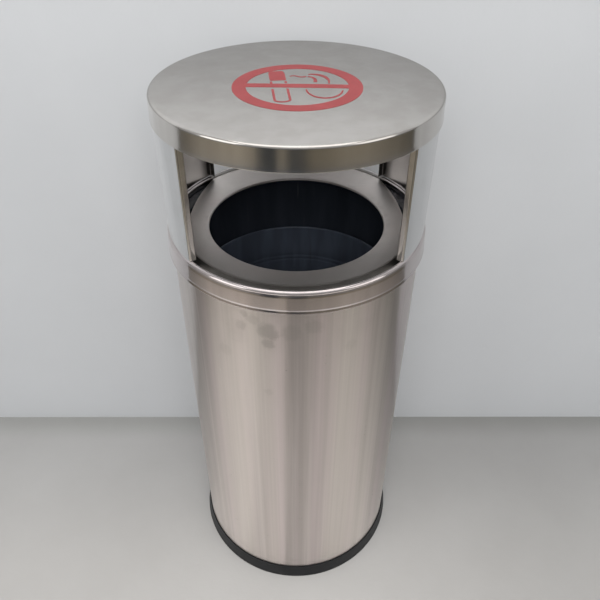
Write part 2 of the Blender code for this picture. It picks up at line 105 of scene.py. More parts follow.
# ---- Outlines ----
def rounded(corners, steps=5):
    """Outline from corners (x, y[, fillet radius]), with a short straight lead on
    each side of every fillet."""
    outline = []
    for i, corner in enumerate(corners):
        point = Vector(corner[:2])
        radius = corner[2] if len(corner) > 2 else 0.0
        if radius <= 0:
            outline.append(tuple(point))
            continue
        before = Vector(corners[i - 1][:2])
        after = Vector(corners[(i + 1) % len(corners)][:2])
        back, ahead = (before - point).normalized(), (after - point).normalized()
        angle = back.angle(ahead)
        if angle > math.radians(177):
            outline.append(tuple(point))
            continue
        back_len, ahead_len = (before - point).length, (after - point).length
        reach = min(radius / math.tan(angle / 2), 0.46 * back_len, 0.46 * ahead_len)
        radius = reach * math.tan(angle / 2)
        centre = point + (back + ahead).normalized() * (radius / math.sin(angle / 2))
        start, end = point + back * reach - centre, point + ahead * reach - centre
        sweep = start.angle(end)
        lead = min(0.22 * radius, 0.04 * back_len)
        outline.append(tuple(point + back * (reach + lead)))
        for k in range(steps + 1):
            part = k / steps
            spoke = (start * math.sin((1 - part) * sweep)
                     + end * math.sin(part * sweep)) / math.sin(sweep)
            outline.append(tuple(centre + spoke))
        lead = min(0.22 * radius, 0.04 * ahead_len)
        outline.append(tuple(point + ahead * (reach + lead)))
    return outline


def arc(centre_x, centre_y, radius_x, radius_y, start, end, steps):
    """Points along an elliptical arc between two angles in degrees."""
    points = []
    for i in range(steps + 1):
        angle = math.radians(start + (end - start) * i / steps)
        points.append((centre_x + radius_x * math.cos(angle),
                       centre_y + radius_y * math.sin(angle)))
    return points


def circle(radius, count, x=0.0, y=0.0):
    return [(x + radius * math.cos(2 * math.pi * k / count),
             y + radius * math.sin(2 * math.pi * k / count)) for k in range(count)]


def offsets(x, z, table):
    """Profile points given as (dx, dz) from one corner."""
    return [(x + dx, z + dz) for dx, dz in table]


def dense(profile, step):
    """Split long walls so that they carry enough rings to hold slight waves."""
    points = []
    for i, point in enumerate(profile):
        points.append(point)
        start, end = Vector(point), Vector(profile[(i + 1) % len(profile)])
        count = max(1, int((end - start).length / step))
        points += [tuple(start.lerp(end, k / count)) for k in range(1, count)]
    return points


# ---- Meshes.  A part is (moving body, CAD piece it replaces, material slot) ----
def store_solid(work, mesh):
    """Turn the normals outward and write the working mesh out."""
    bmesh.ops.recalc_face_normals(work, faces=work.faces[:])
    if work.calc_volume(signed=True) < 0.0:
        bmesh.ops.reverse_faces(work, faces=work.faces[:])
    work.to_mesh(mesh)
    work.free()


def add_object(name, part, mats, mesh, sharp):
    for mat in mats:
        mesh.materials.append(mat)
    mesh.shade_smooth()
    mesh.set_sharp_from_angle(angle=math.radians(sharp))
    obj = bpy.data.objects.new(name, mesh)
    bpy.context.scene.collection.objects.link(obj)
    body, node, slot = part
    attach(obj, body)
    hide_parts(node)


def add_mesh(name, part, mats, verts, faces, sharp, face_mats=None):
    work = bmesh.new()
    points = [work.verts.new(v) for v in verts]
    for i, corners in enumerate(faces):
        face = work.faces.new([points[k] for k in corners])
        if face_mats:
            face.material_index = face_mats[i]
    mesh = bpy.data.meshes.new(name)
    store_solid(work, mesh)
    add_object(name, part, mats, mesh, sharp)


def ring_quads(rings, size, closed=False):
    """Quads between successive rings of vertices."""
    faces = []
    for i in range(rings if closed else rings - 1):
        this, other = i * size, ((i + 1) % rings) * size
        for k in range(size):
            j = (k + 1) % size
            faces.append((this + k, this + j, other + j, other + k))
    return faces


def circle_angles(count=SEGS, seam=None):
    """Even angles; seam = (radius, half width) packs extra ones round the rear."""
    angles = [2 * math.pi * k / count for k in range(count)]
    if seam is None:
        return angles
    radius, half = seam
    gap = half / radius
    keep = [a for a in angles if abs(math.remainder(a - REAR, 2 * math.pi)) > gap * 1.15]
    extra = [REAR + gap * part for part in (-1, -.72, -.5, -.34, -.2, -.09, 0,
                                            .09, .2, .34, .5, .72, 1)]
    return sorted(a % (2 * math.pi) for a in keep + extra)


def turned(name, part, mats, profile, angles=None, warp=None, mat_of=None, sharp=34.0,
           move=None):
    """Spin an (r, z) profile about Z.  The profile closes on itself unless it
    starts on the axis.  mat_of gives the material index of a profile segment."""
    angles = angles or circle_angles()
    verts, faces, face_mats, rings = [], [], [], []
    count = len(angles)
    for r, z in profile:
        if r < 1e-9:
            rings.append((len(verts), True))
            verts.append((0.0, 0.0, z))
            continue
        rings.append((len(verts), False))
        for a in angles:
            ring_r, ring_z = warp(r, z, a) if warp else (r, z)
            verts.append((ring_r * math.cos(a), ring_r * math.sin(a), ring_z))
    open_ended = rings[0][1]
    for i in range(len(profile) - 1 if open_ended else len(profile)):
        (this, this_pole), (other, other_pole) = rings[i], rings[(i + 1) % len(profile)]
        for k in range(count):
            j = (k + 1) % count
            if this_pole:
                faces.append((this, other + j, other + k))
            elif other_pole:
                faces.append((this + k, this + j, other))
            else:
                faces.append((this + k, this + j, other + j, other + k))
            face_mats.append(mat_of(i) if mat_of else 0)
    if move is not None:
        verts = [tuple(move @ Vector(v)) for v in verts]
    add_mesh(name, part, mats, verts, faces, sharp, face_mats)


def wave(angle, z, seed, across, tall, amount):
    """Slow unevenness of rolled sheet; across and tall are its lengths."""
    r = 0.175 / across      # 0.175 stands for the radius of the sheet
    return amount * noise.noise(Vector((math.cos(angle) * r + seed, math.sin(angle) * r,
                                        z / tall + seed * 3.7)))


def seam_bead(angle, radius, height, width):
    away = math.remainder(angle - REAR, 2 * math.pi) * radius
    return height * math.exp(-(away / width) ** 2)


# ---- Node-graph helpers ----
class Value:
    """A node output that can be used in sums."""

    def __init__(self, graph, socket):
        self.graph, self.socket = graph, socket

    def __add__(self, other):
        return self.graph.math("ADD", self, other)

    def __radd__(self, other):
        return self.graph.math("ADD", other, self)

    def __sub__(self, other):
        return self.graph.math("SUBTRACT", self, other)

    def __rsub__(self, other):
        return self.graph.math("SUBTRACT", other, self)

    def __mul__(self, other):
        return self.graph.math("MULTIPLY", self, other)

    def __abs__(self):
        return self.graph.math("ABSOLUTE", self)

    def maximum(self, other):
        return self.graph.math("MAXIMUM", self, other)

    def output(self, name):
        """Another output of the same node."""
        return Value(self.graph, self.socket.node.outputs[name])

    def ease(self, start, end, to=(0.0, 1.0), smooth=True):
        """Go from to[0] to to[1] while this value goes from start to end."""
        return self.graph.node(
            "MapRange", {"Value": self, "From Min": start, "From Max": end,
                         "To Min": to[0], "To Max": to[1]},
            interpolation_type="SMOOTHSTEP" if smooth else "LINEAR")


class Graph:
    """Short ways to add nodes to a material or world."""

    def __init__(self, tree, coords):
        self.tree = tree
        self.coords = self.node("TexCoord", out=coords)
        split = self.node("SeparateXYZ", {0: self.coords})
        self.x, self.y, self.z = (split.output(axis) for axis in "XYZ")

    def put(self, socket, value):
        if isinstance(value, Value):
            self.tree.links.new(value.socket, socket)
        elif value is not None:
            socket.default_value = (*value, 1.0) if socket.type == "RGBA" else value

    def node(self, kind, inputs=None, out=0, **settings):
        new = self.tree.nodes.new("ShaderNode" + kind)
        for key, value in settings.items():
            setattr(new, key, value)
        for key, value in (inputs or {}).items():
            self.put(new.inputs[key], value)
        return Value(self, new.outputs[out])

    def math(self, operation, first, second=None, clamp=False):
        return self.node("Math", {0: first, 1: second}, operation=operation,
                         use_clamp=clamp)

    def grey(self, value):
        return self.node("CombineXYZ", {0: value, 1: value, 2: value})

    def radial(self):
        """Distance from the Z axis."""
        return self.math("SQRT", self.x * self.x + self.y * self.y)

    def scaled(self, scale, shift=(0, 0, 0), turn=0):
        if not isinstance(scale, tuple):
            scale = (scale, scale, scale)
        return self.node("Mapping", {"Scale": scale, "Location": shift,
                                     "Rotation": (0, 0, turn), "Vector": self.coords})

    def noise(self, scale, detail=3, rough=0.6, shift=(0, 0, 0), turn=0):
        """Noise with scale = cycles per metre, one number or one per axis."""
        return self.node("TexNoise", {"Vector": self.scaled(scale, shift, turn),
                                      "Scale": 1.0, "Detail": detail,
                                      "Roughness": rough, "Distortion": 0.0})

    def cells(self, scale, out):
        return self.node("TexVoronoi", {"Vector": self.scaled(scale), "Scale": 1.0},
                         out=out)

    def mix(self, factor, first, second, kind="MIX"):
        return self.node("Mix", {0: factor, 6: first, 7: second}, out=2,
                         data_type="RGBA", blend_type=kind)

    def multiply(self, first, second):
        return self.mix(1.0, first, second, "MULTIPLY")

    def ramp(self, value, stops):
        """Colour ramp from (position, colour or grey level) stops."""
        result = self.node("ValToRGB", {0: value})
        elements = result.socket.node.color_ramp.elements
        elements.remove(elements[-1])
        elements[0].position = stops[0][0]
        for k, (position, colour) in enumerate(stops):
            element = elements[0] if k == 0 else elements.new(position)
            if not isinstance(colour, tuple):
                colour = (colour, colour, colour)
            element.color = (*colour, 1.0)
        return result

    def relief(self, layers):
        """Bump nodes in a chain, from (height, distance) layers."""
        normal = None
        for height, distance in layers:
            normal = self.node("Bump", {"Strength": 1.0, "Distance": distance,
                                        "Height": height, "Normal": normal})
        return normal


class Mat(Graph):
    """A Principled material whose colour is laid on in coats."""

    def __init__(self, name):
        self.mat = bpy.data.materials.new(name)
        self.mat.use_nodes = True
        super().__init__(self.mat.node_tree, "Object")
        self.bsdf = self.tree.nodes["Principled BSDF"]

    def set(self, **values):
        for key, value in values.items():
            self.put(self.bsdf.inputs[key.replace("_", " ")], value)

    def base(self, factor, first, second):
        self.colour = self.mix(factor, first, second)

    def coat(self, mask, colour):
        self.colour = self.mix(mask, self.colour, colour)

    def brushed_round(self, amount):
        """Stretch highlights as grain running round the Z axis does."""
        self.set(Tangent=self.node("Tangent", direction_type="RADIAL", axis="Z"),
                 Anisotropic=amount, Anisotropic_Rotation=0.25)

    def marks(self, spots, soft, wobble_scale, wobble):
        """Mask of soft round patches, each (centre, radius, strength)."""
        wobble = (self.noise(wobble_scale) - 0.5) * wobble
        masks = []
        for centre, radius, strength in spots:
            away = self.node("VectorMath", {0: self.coords, 1: centre}, out="Value",
                             operation="DISTANCE") + wobble
            masks.append(away.ease(radius * (1 + soft), radius * (1 - soft * 0.4))
                         * strength)
        return reduce(Value.maximum, masks)

    def hairlines(self, scale, cut, turns, stretch):
        """Mask of sparse hairline scratches at a few headings (turns, radians);
        a higher cut leaves fewer."""
        lines = []
        for k, turn in enumerate(turns):
            line = self.noise((scale, scale * stretch, scale), detail=2, rough=0.5,
                              shift=(3.1 * k, 7.7 * k, 1.3 * k), turn=turn)
            gate = self.noise(14, detail=2, rough=0.5, shift=(k * 5.0, 0, 0))
            lines.append(line.ease(cut, cut + 0.035) * gate.ease(0.52, 0.66))
        return reduce(Value.maximum, lines)

    def finish(self, rough, relief, metallic=1.0, **values):
        self.set(Base_Color=self.colour, Metallic=metallic, Roughness=rough,
                 Normal=self.relief(relief), **values)
        return self.mat


# ---- Materials ----
# degrees from the front towards +X, height, radius, strength
BODY_MARKS = (
    (-21.7, .6256, .0042, .65), (-18.2, .6187, .0070, .5), (-24.0, .6050, .0062, .6),
    (-12.4, .6035, .0105, 1.0), (-10.6, .5990, .0080, .9), (-11.9, .5815, .0068, .85),
    (-2.0, .6040, .0110, .55), (7.1, .6130, .0095, .6), (-12.9, .4920, .0050, .35),
    (24.0, .5710, .0070, .3), (-33.0, .5500, .0080, .3), (118.0, .6010, .0090, .5),
    (131.0, .5830, .0070, .5), (-140.0, .5950, .0100, .5), (172.0, .5660, .0075, .4))
# x, y, radius, strength
LID_MARKS = (
    (-.118, .072, .012, .8), (-.085, .104, .010, .6), (.098, -.092, .013, .6),
    (-.060, -.118, .010, .6), (.060, .128, .011, .6), (-.130, -.020, .009, .5),
    (.122, .030, .010, .5))


def at_wall(degrees, z):
    angle = math.radians(degrees)
    return (BODY_R * math.sin(angle), -BODY_R * math.cos(angle), z)


def brushed_body():
    m = Mat("brushed_stainless")
    # fine grain that runs round the body
    grain = m.noise((9, 9, 2600))
    coarse_grain = m.noise((26, 26, 900), detail=2, rough=0.5)
    # tall soft streaks
    streak = m.noise((70, 70, 0.9), detail=4, rough=0.62)
    broad = m.noise((16, 16, 0.5), detail=2, rough=0.5, shift=(4, 0, 0))
    tint = m.noise((38, 38, 0.7), detail=2, rough=0.5, shift=(0, 9, 0))
    hair = m.noise((250, 250, 0.7), shift=(2, 3, 0))
    m.base(streak.ease(0.32, 0.68), (0.512, 0.462, 0.440), (0.664, 0.604, 0.580))
    m.coat(tint.ease(0.42, 0.60, to=(0.0, 0.60)), (0.612, 0.534, 0.530))
    m.coat(broad.ease(0.42, 0.60, to=(0.0, 0.45)), (0.596, 0.562, 0.508))
    m.coat(hair.ease(0.40, 0.70, to=(0.0, 0.30)), (0.500, 0.455, 0.435))
    # water and finger marks, mostly near the top of the front
    marks = m.marks([(at_wall(degrees, z), radius, strength)
                     for degrees, z, radius, strength in BODY_MARKS],
                    soft=0.6, wobble_scale=190, wobble=0.012)
    # haze, stronger near the top
    top = m.z.ease(BODY_Z1 - 0.16, BODY_Z1 - 0.04)
    haze = m.noise((30, 30, 22), detail=4, shift=(1, 2, 3)).ease(0.50, 0.72)
    haze = haze * (top * 0.7 + 0.25)
    # a few shallow horizontal scuffs
    scuff = m.noise((22, 22, 420), detail=2, rough=0.5, shift=(2.5, 0, 8))
    gate = m.noise((7, 7, 9), detail=1, rough=0.5, shift=(9, 1, 0))
    scuff = scuff.ease(0.70, 0.76) * gate.ease(0.56, 0.66)
    grime = m.z.ease(0.075, 0.028) * m.noise((48, 48, 80), detail=4,
                                             rough=0.65).ease(0.42, 0.72)
    m.coat(marks * 0.40, (0.36, 0.335, 0.305))
    m.coat(haze * 0.10, (0.40, 0.385, 0.36))
    m.coat(scuff * 0.30, (0.36, 0.34, 0.33))
    m.coat(grime * 0.22, (0.34, 0.32, 0.29))
    # the rear weld seam is dressed to a duller line
    seam = abs(m.x).ease(0.0026, 0.0008) * m.y.ease(0.10, 0.12)
    m.coat(seam * 0.35, (0.43, 0.40, 0.37))
    m.brushed_round(0.82)
    rough = (coarse_grain * 0.05 + streak * 0.07 + 0.235 + marks * 0.10 + haze * 0.05
             + seam * 0.10)
    return m.finish(rough, [(streak, 0.00022), (grain, 0.000010), (scuff, 0.000020)])


def polished(name, base, rough, aniso, dull_inside=None, painted_light_rear=None):
    """Polished sheet.  Inside the radius dull_inside it is left unpolished; inside the
    other radius it is painted paler at the rear, as painted light."""
    m = Mat(name)
    grain = m.noise((8, 8, 2100))
    streak = m.noise((42, 42, 2.0))
    haze = m.noise(26, detail=5, shift=(5, 5, 5))
    m.base(streak.ease(0.33, 0.68), tuple(c * 0.88 for c in base), base)
    m.coat(haze.ease(0.54, 0.74) * 0.16, (0.44, 0.425, 0.40))
    line = m.hairlines(scale=16, cut=0.70, turns=(0.3, 1.2, 2.2), stretch=50)
    m.coat(line * 0.22, (0.40, 0.38, 0.36))
    if dull_inside:
        # the inward side is paler low down, and towards the rear it carries a painted dark
        # reflection
        inward = m.radial().ease(dull_inside + 0.0001, dull_inside - 0.0001)
        soot_and_painted_reflection = inward * m.y.ease(0.098, 0.112)
        soft = m.mix(haze.ease(0.35, 0.70), (0.490, 0.470, 0.450), (0.610, 0.585, 0.560))
        low = m.z.ease(PANEL_Z0 + 0.085, PANEL_Z0 + 0.015, to=(0.0, 0.8))
        m.coat(inward, m.mix(low, soft, (0.760, 0.735, 0.715)))
        # The dark coat here is a painted reflection.
        m.coat(soot_and_painted_reflection * 0.85, (0.060, 0.058, 0.056))
    rear = 0.0
    # painted light: the rear of the inward roll is painted paler and made rougher to lift
    # it
    if painted_light_rear:
        rear = (m.radial().ease(painted_light_rear + 0.0036, painted_light_rear + 0.0026)
                * m.y.ease(0.100, 0.125))
        m.coat(rear, (0.880, 0.865, 0.850))
    m.brushed_round(aniso)
    rough = (grain * 0.05 + (rough - 0.02) + m.math("MULTIPLY", rear, 0.30)
             + haze.ease(0.48, 0.74) * 0.08 + line * 0.08)
    return m.finish(rough, [(streak, 0.00010), (grain, 0.000006), (line, 0.000012)])


def lid_steel():
    """Bright lid: round grain on the skirt, near-mirror top with handling haze,
    finger marks and hairline scratches."""
    m = Mat("cap_stainless")
    top = m.z.ease(CAP_EDGE_Z - 0.0006, CAP_EDGE_Z + 0.0002)
    grain = m.mix(top, m.noise((8, 8, 2200)), m.noise((10, 1600, 40)))
    streak = m.noise((36, 36, 2.0))
    haze = m.noise(13, detail=5, rough=0.62, shift=(2, 7, 1))
    fine = m.noise(60, detail=4, shift=(2, 1, 1))
    m.base(streak.ease(0.33, 0.68), (0.590, 0.562, 0.530), (0.650, 0.625, 0.595))
    m.coat(haze.ease(0.45, 0.72) * 0.12, (0.56, 0.545, 0.515))
    line = m.hairlines(scale=11, cut=0.705, turns=(0.15, 0.9, 1.7, 2.6), stretch=70)
    line = line * top
    m.coat(line * 0.25, (0.42, 0.40, 0.38))
    marks = m.marks([((x, y, CAP_Z1), radius, strength)
                     for x, y, radius, strength in LID_MARKS],
                    soft=0.5, wobble_scale=160, wobble=0.010)
    m.coat(marks * 0.16, (0.42, 0.41, 0.38))
    rough = (haze.ease(0.40, 0.75) * 0.06 + 0.105 + fine * 0.03 + line * 0.08
             + marks * 0.06)
    return m.finish(rough, [(streak, 0.00008), (grain, 0.000005), (line, 0.000012)])


def satin():
    m = Mat("satin_stainless")
    grain = m.noise((14, 1300, 14))
    cloud = m.noise(18, detail=4, shift=(6, 2, 0))
    tint = m.noise((9, 14, 9), detail=2, rough=0.5, shift=(1, 6, 0))
    m.base(cloud.ease(0.32, 0.70), (0.665, 0.625, 0.598), (0.730, 0.688, 0.660))
    m.coat(tint.ease(0.42, 0.66, to=(0.0, 0.6)), (0.720, 0.652, 0.628))
    # painted light and shade: brighter at the sides, darker towards the front
    painted_light_and_shade = (abs(m.x).ease(0.080, 0.140, to=(1.0, 1.30))
             * m.y.ease(-0.145, -0.010, to=(0.72, 1.0)))
    m.colour = m.multiply(m.colour, m.grey(painted_light_and_shade))
    line = m.hairlines(scale=15, cut=0.69, turns=(0.2, 1.1, 1.9, 2.7), stretch=55)
    m.coat(line * 0.3, (0.38, 0.36, 0.34))
    # wear round the hole, where rubbish rubs the edge
    r = m.radial()
    rub = (r.ease(0.1335, 0.1275) * r.ease(0.1252, 0.1262)
           * m.noise(70, detail=4).ease(0.40, 0.70))
    m.coat(rub * 0.16, (0.42, 0.40, 0.375))
    # painted dark reflection on the low front border
    border = r.ease(CREASE_R + 0.0002, CREASE_R + 0.0012) * m.y.ease(0.01, -0.01)
    painted_reflection_strength = 0.82 + m.noise(60, rough=0.5) * 0.20
    m.coat(m.math("MULTIPLY", border, painted_reflection_strength, clamp=True), (0.110, 0.105, 0.098))
    rough = cloud * 0.12 + 0.30 + grain * 0.04 + line * 0.08 + rub * 0.06
    # the surface scatters more where nothing has rubbed it bright
    dull = abs(m.x).ease(0.080, 0.130) * (m.y.ease(-0.120, -0.030)
                                          * m.y.ease(0.110, 0.050))
    return m.finish(rough, [(cloud, 0.00004), (grain, 0.000005), (line, 0.000015)],
                    metallic=1.0 - dull * 0.24)


def mill_finish():
    """Unpolished inside of the lid: dull, cloudy, lightly soiled."""
    m = Mat("mill_finish_stainless")
    grain = m.noise((20, 900, 20))
    cloud = m.noise(16, detail=5, rough=0.65, shift=(3, 3, 8))
    soot_and_painted_reflection = m.noise(9, shift=(8, 1, 2))
    m.base(cloud.ease(0.30, 0.72), (0.265, 0.255, 0.240), (0.345, 0.335, 0.320))
    m.coat(soot_and_painted_reflection.ease(0.48, 0.75, to=(0.0, 0.55)), (0.150, 0.142, 0.130))
    return m.finish(cloud * 0.20 + 0.32 + grain * 0.06,
                    [(cloud, 0.00008), (grain, 0.000008)])


def enamel(name, base, rough, gloss=0.5):
    m = Mat(name)
    peel = m.noise(260, detail=2, rough=0.5)
    flow = m.noise((34, 34, 5.0), rough=0.5)
    dust = m.noise(700, rough=0.7).ease(0.66, 0.74)
    scuff = m.noise((120, 120, 9), detail=4, shift=(4, 4, 4)).ease(0.60, 0.74)
    m.base(flow.ease(0.35, 0.68), base, tuple(c * 1.35 for c in base))
    m.coat(scuff * 0.35, (0.050, 0.054, 0.062))
    m.coat(dust * 0.25, (0.095, 0.098, 0.102))
    return m.finish(flow * 0.06 + (rough - 0.02) + scuff * 0.14 + dust * 0.3,
                    [(flow, 0.00010), (peel, 0.000018)], metallic=0.0, IOR=1.52,
                    Specular_IOR_Level=gloss)


def rubber():
    m = Mat("black_rubber")
    pore = m.noise(900, detail=4, rough=0.65)
    cloud = m.noise((36, 36, 60), detail=4)
    ring = m.noise((5, 5, 520), detail=2, rough=0.5)
    # dust lies low, near the floor
    dust = m.z.ease(0.012, 0.001) * m.noise((120, 120, 260), detail=5,
                                            rough=0.7).ease(0.42, 0.70)
    scratch = m.noise((60, 60, 900), detail=2, rough=0.5).ease(0.68, 0.74)
    m.base(cloud.ease(0.30, 0.72), (0.0072, 0.0076, 0.0088), (0.0140, 0.0145, 0.0160))
    m.coat(dust * 0.40, (0.085, 0.082, 0.076))
    m.coat(scratch * 0.4, (0.055, 0.055, 0.056))
    return m.finish(cloud * 0.18 + 0.46 + dust * 0.2,
                    [(ring, 0.00006), (pore, 0.00003)], metallic=0.0,
                    Specular_IOR_Level=0.25)


def zinc_wire():
    m = Mat("zinc_wire")
    draw = m.noise(300, detail=4)
    spot = m.cells(420, out="Distance")
    m.base(draw.ease(0.35, 0.68), (0.40, 0.41, 0.42), (0.57, 0.58, 0.60))
    m.coat(spot.ease(0.10, 0.45, to=(0.20, 0.0)), (0.33, 0.335, 0.345))
    return m.finish(draw * 0.22 + 0.24, [(draw, 0.00004)])


def galvanised():
    m = Mat("galvanised_sheet")
    flake = m.node("RGBToBW", {0: m.cells(85, out="Color")})
    cloud = m.noise(24, detail=4)
    m.base(flake, (0.36, 0.375, 0.385), (0.52, 0.535, 0.545))
    m.coat(cloud.ease(0.45, 0.75, to=(0.0, 0.4)), (0.34, 0.335, 0.32))
    return m.finish(flake * 0.16 + 0.30 + cloud * 0.10, [(cloud, 0.00008)])


def vinyl():
    m = Mat("red_vinyl")
    cloud = m.noise(46, detail=4)
    grain = m.noise(1200)
    line = m.hairlines(scale=20, cut=0.69, turns=(0.4, 1.4, 2.4), stretch=60)
    m.base(cloud.ease(0.30, 0.72), (0.315, 0.042, 0.045), (0.362, 0.058, 0.061))
    m.coat(line * 0.30, (0.43, 0.19, 0.18))
    return m.finish(cloud * 0.16 + 0.30 + line * 0.1,
                    [(grain, 0.000012), (cloud, 0.00005)], metallic=0.0,
                    Specular_IOR_Level=0.30)


BRUSHED = brushed_body()
POLISHED = polished("polished_stainless", base=(0.640, 0.586, 0.580), rough=0.13,
                    aniso=0.45, painted_light_rear=COLLAR_IN_R)
PANEL_STEEL = polished("panel_stainless", base=(0.700, 0.702, 0.702), rough=0.15,
                       aniso=0.35, dull_inside=PANEL_R - 0.00045)
LID = lid_steel()
SATIN = satin()
INSIDE = mill_finish()
# The bucket's inside and pan take a lighter copy of the same black enamel: painted light
# for the dim inside.
ENAMEL_INSIDE_PAINTED_LIGHT = enamel("black_enamel", base=(0.0520, 0.0620, 0.0840), rough=0.10, gloss=0.75)
ENAMEL_OUT = enamel("black_enamel_outside", base=(0.0150, 0.0175, 0.0240), rough=0.11)
ENAMEL_BODY = enamel("body_enamel", base=(0.0220, 0.0260, 0.0350), rough=0.13)
RUBBER = rubber()
WIRE = zinc_wire()
GALVANISED = galvanised()
VINYL = vinyl()

# ---- Body shell: brushed outside, black inside, weld seam at the rear ----
SHELL_IN_R = BODY_R - SHEET
shell_profile = dense(rounded([
    (BODY_R, BODY_Z1, 0.0003), (BODY_R, BODY_Z0, 0.0003),
    (SHELL_IN_R, BODY_Z0, 0.0003), (SHELL_IN_R, BODY_Z1, 0.0003)], 3), step=0.026)


def shell_warp(r, z, a):
    fade = max(0.0, min(1.0, (BODY_Z1 - z) / 0.06, (z - BODY_Z0) / 0.05))
    swell = (wave(a, z, seed=1.3, across=0.030, tall=0.55, amount=0.00016)
             + wave(a, z, seed=7.9, across=0.013, tall=0.34, amount=0.00005)) * fade
    if r > BODY_R - SHEET * 0.5:
        swell += seam_bead(a, BODY_R, height=0.00016, width=0.0011)
    return r + swell, z


def shell_mat(i):
    ends = shell_profile[i], shell_profile[(i + 1) % len(shell_profile)]
    return 1 if all(r < BODY_R - SHEET * 0.9 for r, _ in ends) else 0


turned("shell", ("bin_body", "body_shell", "brushed_stainless"), [BRUSHED, ENAMEL_BODY],
       shell_profile, circle_angles(seam=(BODY_R, 0.0034)), shell_warp, shell_mat)

# Rubber ring: a moulded edge strip with a soft top bead and a floor heel
FOOT_IN_R = FOOT_R - 0.0159
FOOT_GRIP_R = BODY_R + 0.0004
turned("foot_ring", ("bin_body", "base_ring", "black_rubber"), [RUBBER], rounded([
    (FOOT_GRIP_R, FOOT_H, 0.0004), (BODY_R + 0.0020, FOOT_H, 0.0008),
    (BODY_R + 0.0026, FOOT_H - 0.0030, 0.0012), (FOOT_R - 0.0014, 0.0072, 0.0030),
    (FOOT_R, 0.0016, 0.0010), (FOOT_R - 0.0006, 0.0, 0.0005),
    (FOOT_IN_R, 0.0, 0.0006), (FOOT_IN_R, 0.0040, 0.0008),
    (FOOT_GRIP_R, 0.0040, 0.0004)]))

# Floor of the body: pressed pan with a stiffening bead
FLOOR_R = SHELL_IN_R - 0.0004
turned("floor_pan", ("bin_body", "base_plate", "galvanised_sheet"), [GALVANISED],
       rounded([
           (0.0, 0.0060), (0.060, 0.0060, 0.004), (0.064, 0.0072, 0.004),
           (0.076, 0.0072, 0.004), (0.080, 0.0060, 0.004),
           (FLOOR_R - 0.0022, 0.0060, 0.0016), (FLOOR_R - 0.0008, 0.0080, 0.0016),
           (FLOOR_R - 0.0008, 0.0180, 0.0002), (FLOOR_R, 0.0180, 0.0003),
           (FLOOR_R, 0.0058, 0.0012), (FLOOR_R - 0.0014, 0.0052, 0.0010),
           (0.081, 0.0052, 0.004), (0.077, 0.0064, 0.004), (0.063, 0.0064, 0.004),
           (0.059, 0.0052, 0.004), (0.0, 0.0052)]), circle_angles(192))

# Ledge: black flanged ring that carries the plate and the hood
LEDGE_IN_R = 0.1572
LEDGE_T = 0.0012
turned("ledge_ring", ("bin_body", "plate_ledge", "black_enamel"), [ENAMEL_BODY], rounded([
    (LEDGE_R, LEDGE_Z1, 0.0008), (LEDGE_R, LEDGE_Z0, 0.0003),
    (LEDGE_R - 0.0010, LEDGE_Z0, 0.0003), (LEDGE_R - 0.0010, LEDGE_Z1 - LEDGE_T, 0.0006),
    (LEDGE_IN_R, LEDGE_Z1 - LEDGE_T, 0.0004), (LEDGE_IN_R, LEDGE_Z1, 0.0005)], 4))

# ---- Hood collar: tapered band with a rolled top and a stepped, hemmed lip ----
STEP_Z = COLLAR_Z0 + 0.0066
TAPER_END_Z = COLLAR_Z0 + 0.0290
ROLL_R = 0.5 * (COLLAR_TOP_R - COLLAR_IN_R)
ROLL_MID_R = 0.5 * (COLLAR_TOP_R + COLLAR_IN_R)
ROLL_H = 0.0034
ROLL_Z = COLLAR_Z1 - ROLL_H
ROLL_POWER = 1.32       # above 1 pulls the outer shoulder in


def collar_outside(z):
    part = min(1.0, max(0.0, (z - STEP_Z) / (TAPER_END_Z - STEP_Z)))
    return (COLLAR_R - 0.0004) + (COLLAR_TOP_R - COLLAR_R + 0.0004) * part


levels = [COLLAR_Z0 + 0.0075 + 0.0012 * k for k in range(15)]
levels = [z for z in levels if z < ROLL_Z - 0.0034]
collar = []
for k in range(19):
    a = math.pi / 2 * (1.0 - k / 18)
    collar.append((ROLL_MID_R + ROLL_R * max(0.0, math.cos(a)) ** ROLL_POWER,
                   ROLL_Z + ROLL_H * math.sin(a) ** ROLL_POWER))
# shallow groove under the roll
collar += offsets(COLLAR_TOP_R, ROLL_Z, (
    (-0.00005, -0.0008), (-0.0005, -0.0015), (-0.0005, -0.0021), (-0.0001, -0.0030)))
collar += [(collar_outside(z), z) for z in reversed(levels)]
# pressed step and hemmed bead at the lip
collar += offsets(COLLAR_R, COLLAR_Z0, (
    (-0.0004, 0.0066), (-0.00045, 0.0060), (-0.00062, 0.0054), (-0.00078, 0.0048),
    (-0.00078, 0.0041), (-0.0005, 0.0031), (-0.00025, 0.0021), (-0.00012, 0.0012)))
collar += arc(COLLAR_R - 0.0007, COLLAR_Z0 + 0.0006, 0.0006, 0.0006, 30, -120, 10)
collar += offsets(COLLAR_R, COLLAR_Z0, (
    (-0.0018, 0.0016), (-0.0019, 0.0036), (-0.0019, 0.0052), (-0.0012, 0.0066)))
collar += [(collar_outside(z) - SHEET, z) for z in levels]
collar += offsets(COLLAR_TOP_R - SHEET, ROLL_Z, ((0.0, -0.0028), (-0.0003, -0.0014)))
collar += arc(ROLL_MID_R, ROLL_Z, ROLL_R - SHEET, ROLL_H - SHEET, 0, 180, 16)
collar += offsets(COLLAR_IN_R, SEAT_Z, (
    (SHEET, 0.0002), (SHEET * 0.8, 0.0), (SHEET * 0.2, 0.0), (0.0, 0.0002)))
collar += arc(ROLL_MID_R, ROLL_Z, ROLL_R, ROLL_H, 180, 96.5, 12)


def collar_warp(r, z, a):
    swell = wave(a, z, seed=3.1, across=0.050, tall=0.20, amount=0.00012)
    if r > COLLAR_TOP_R - 0.0004:
        swell += seam_bead(a, COLLAR_R, height=-0.00010, width=0.0009)
    return r + swell, z


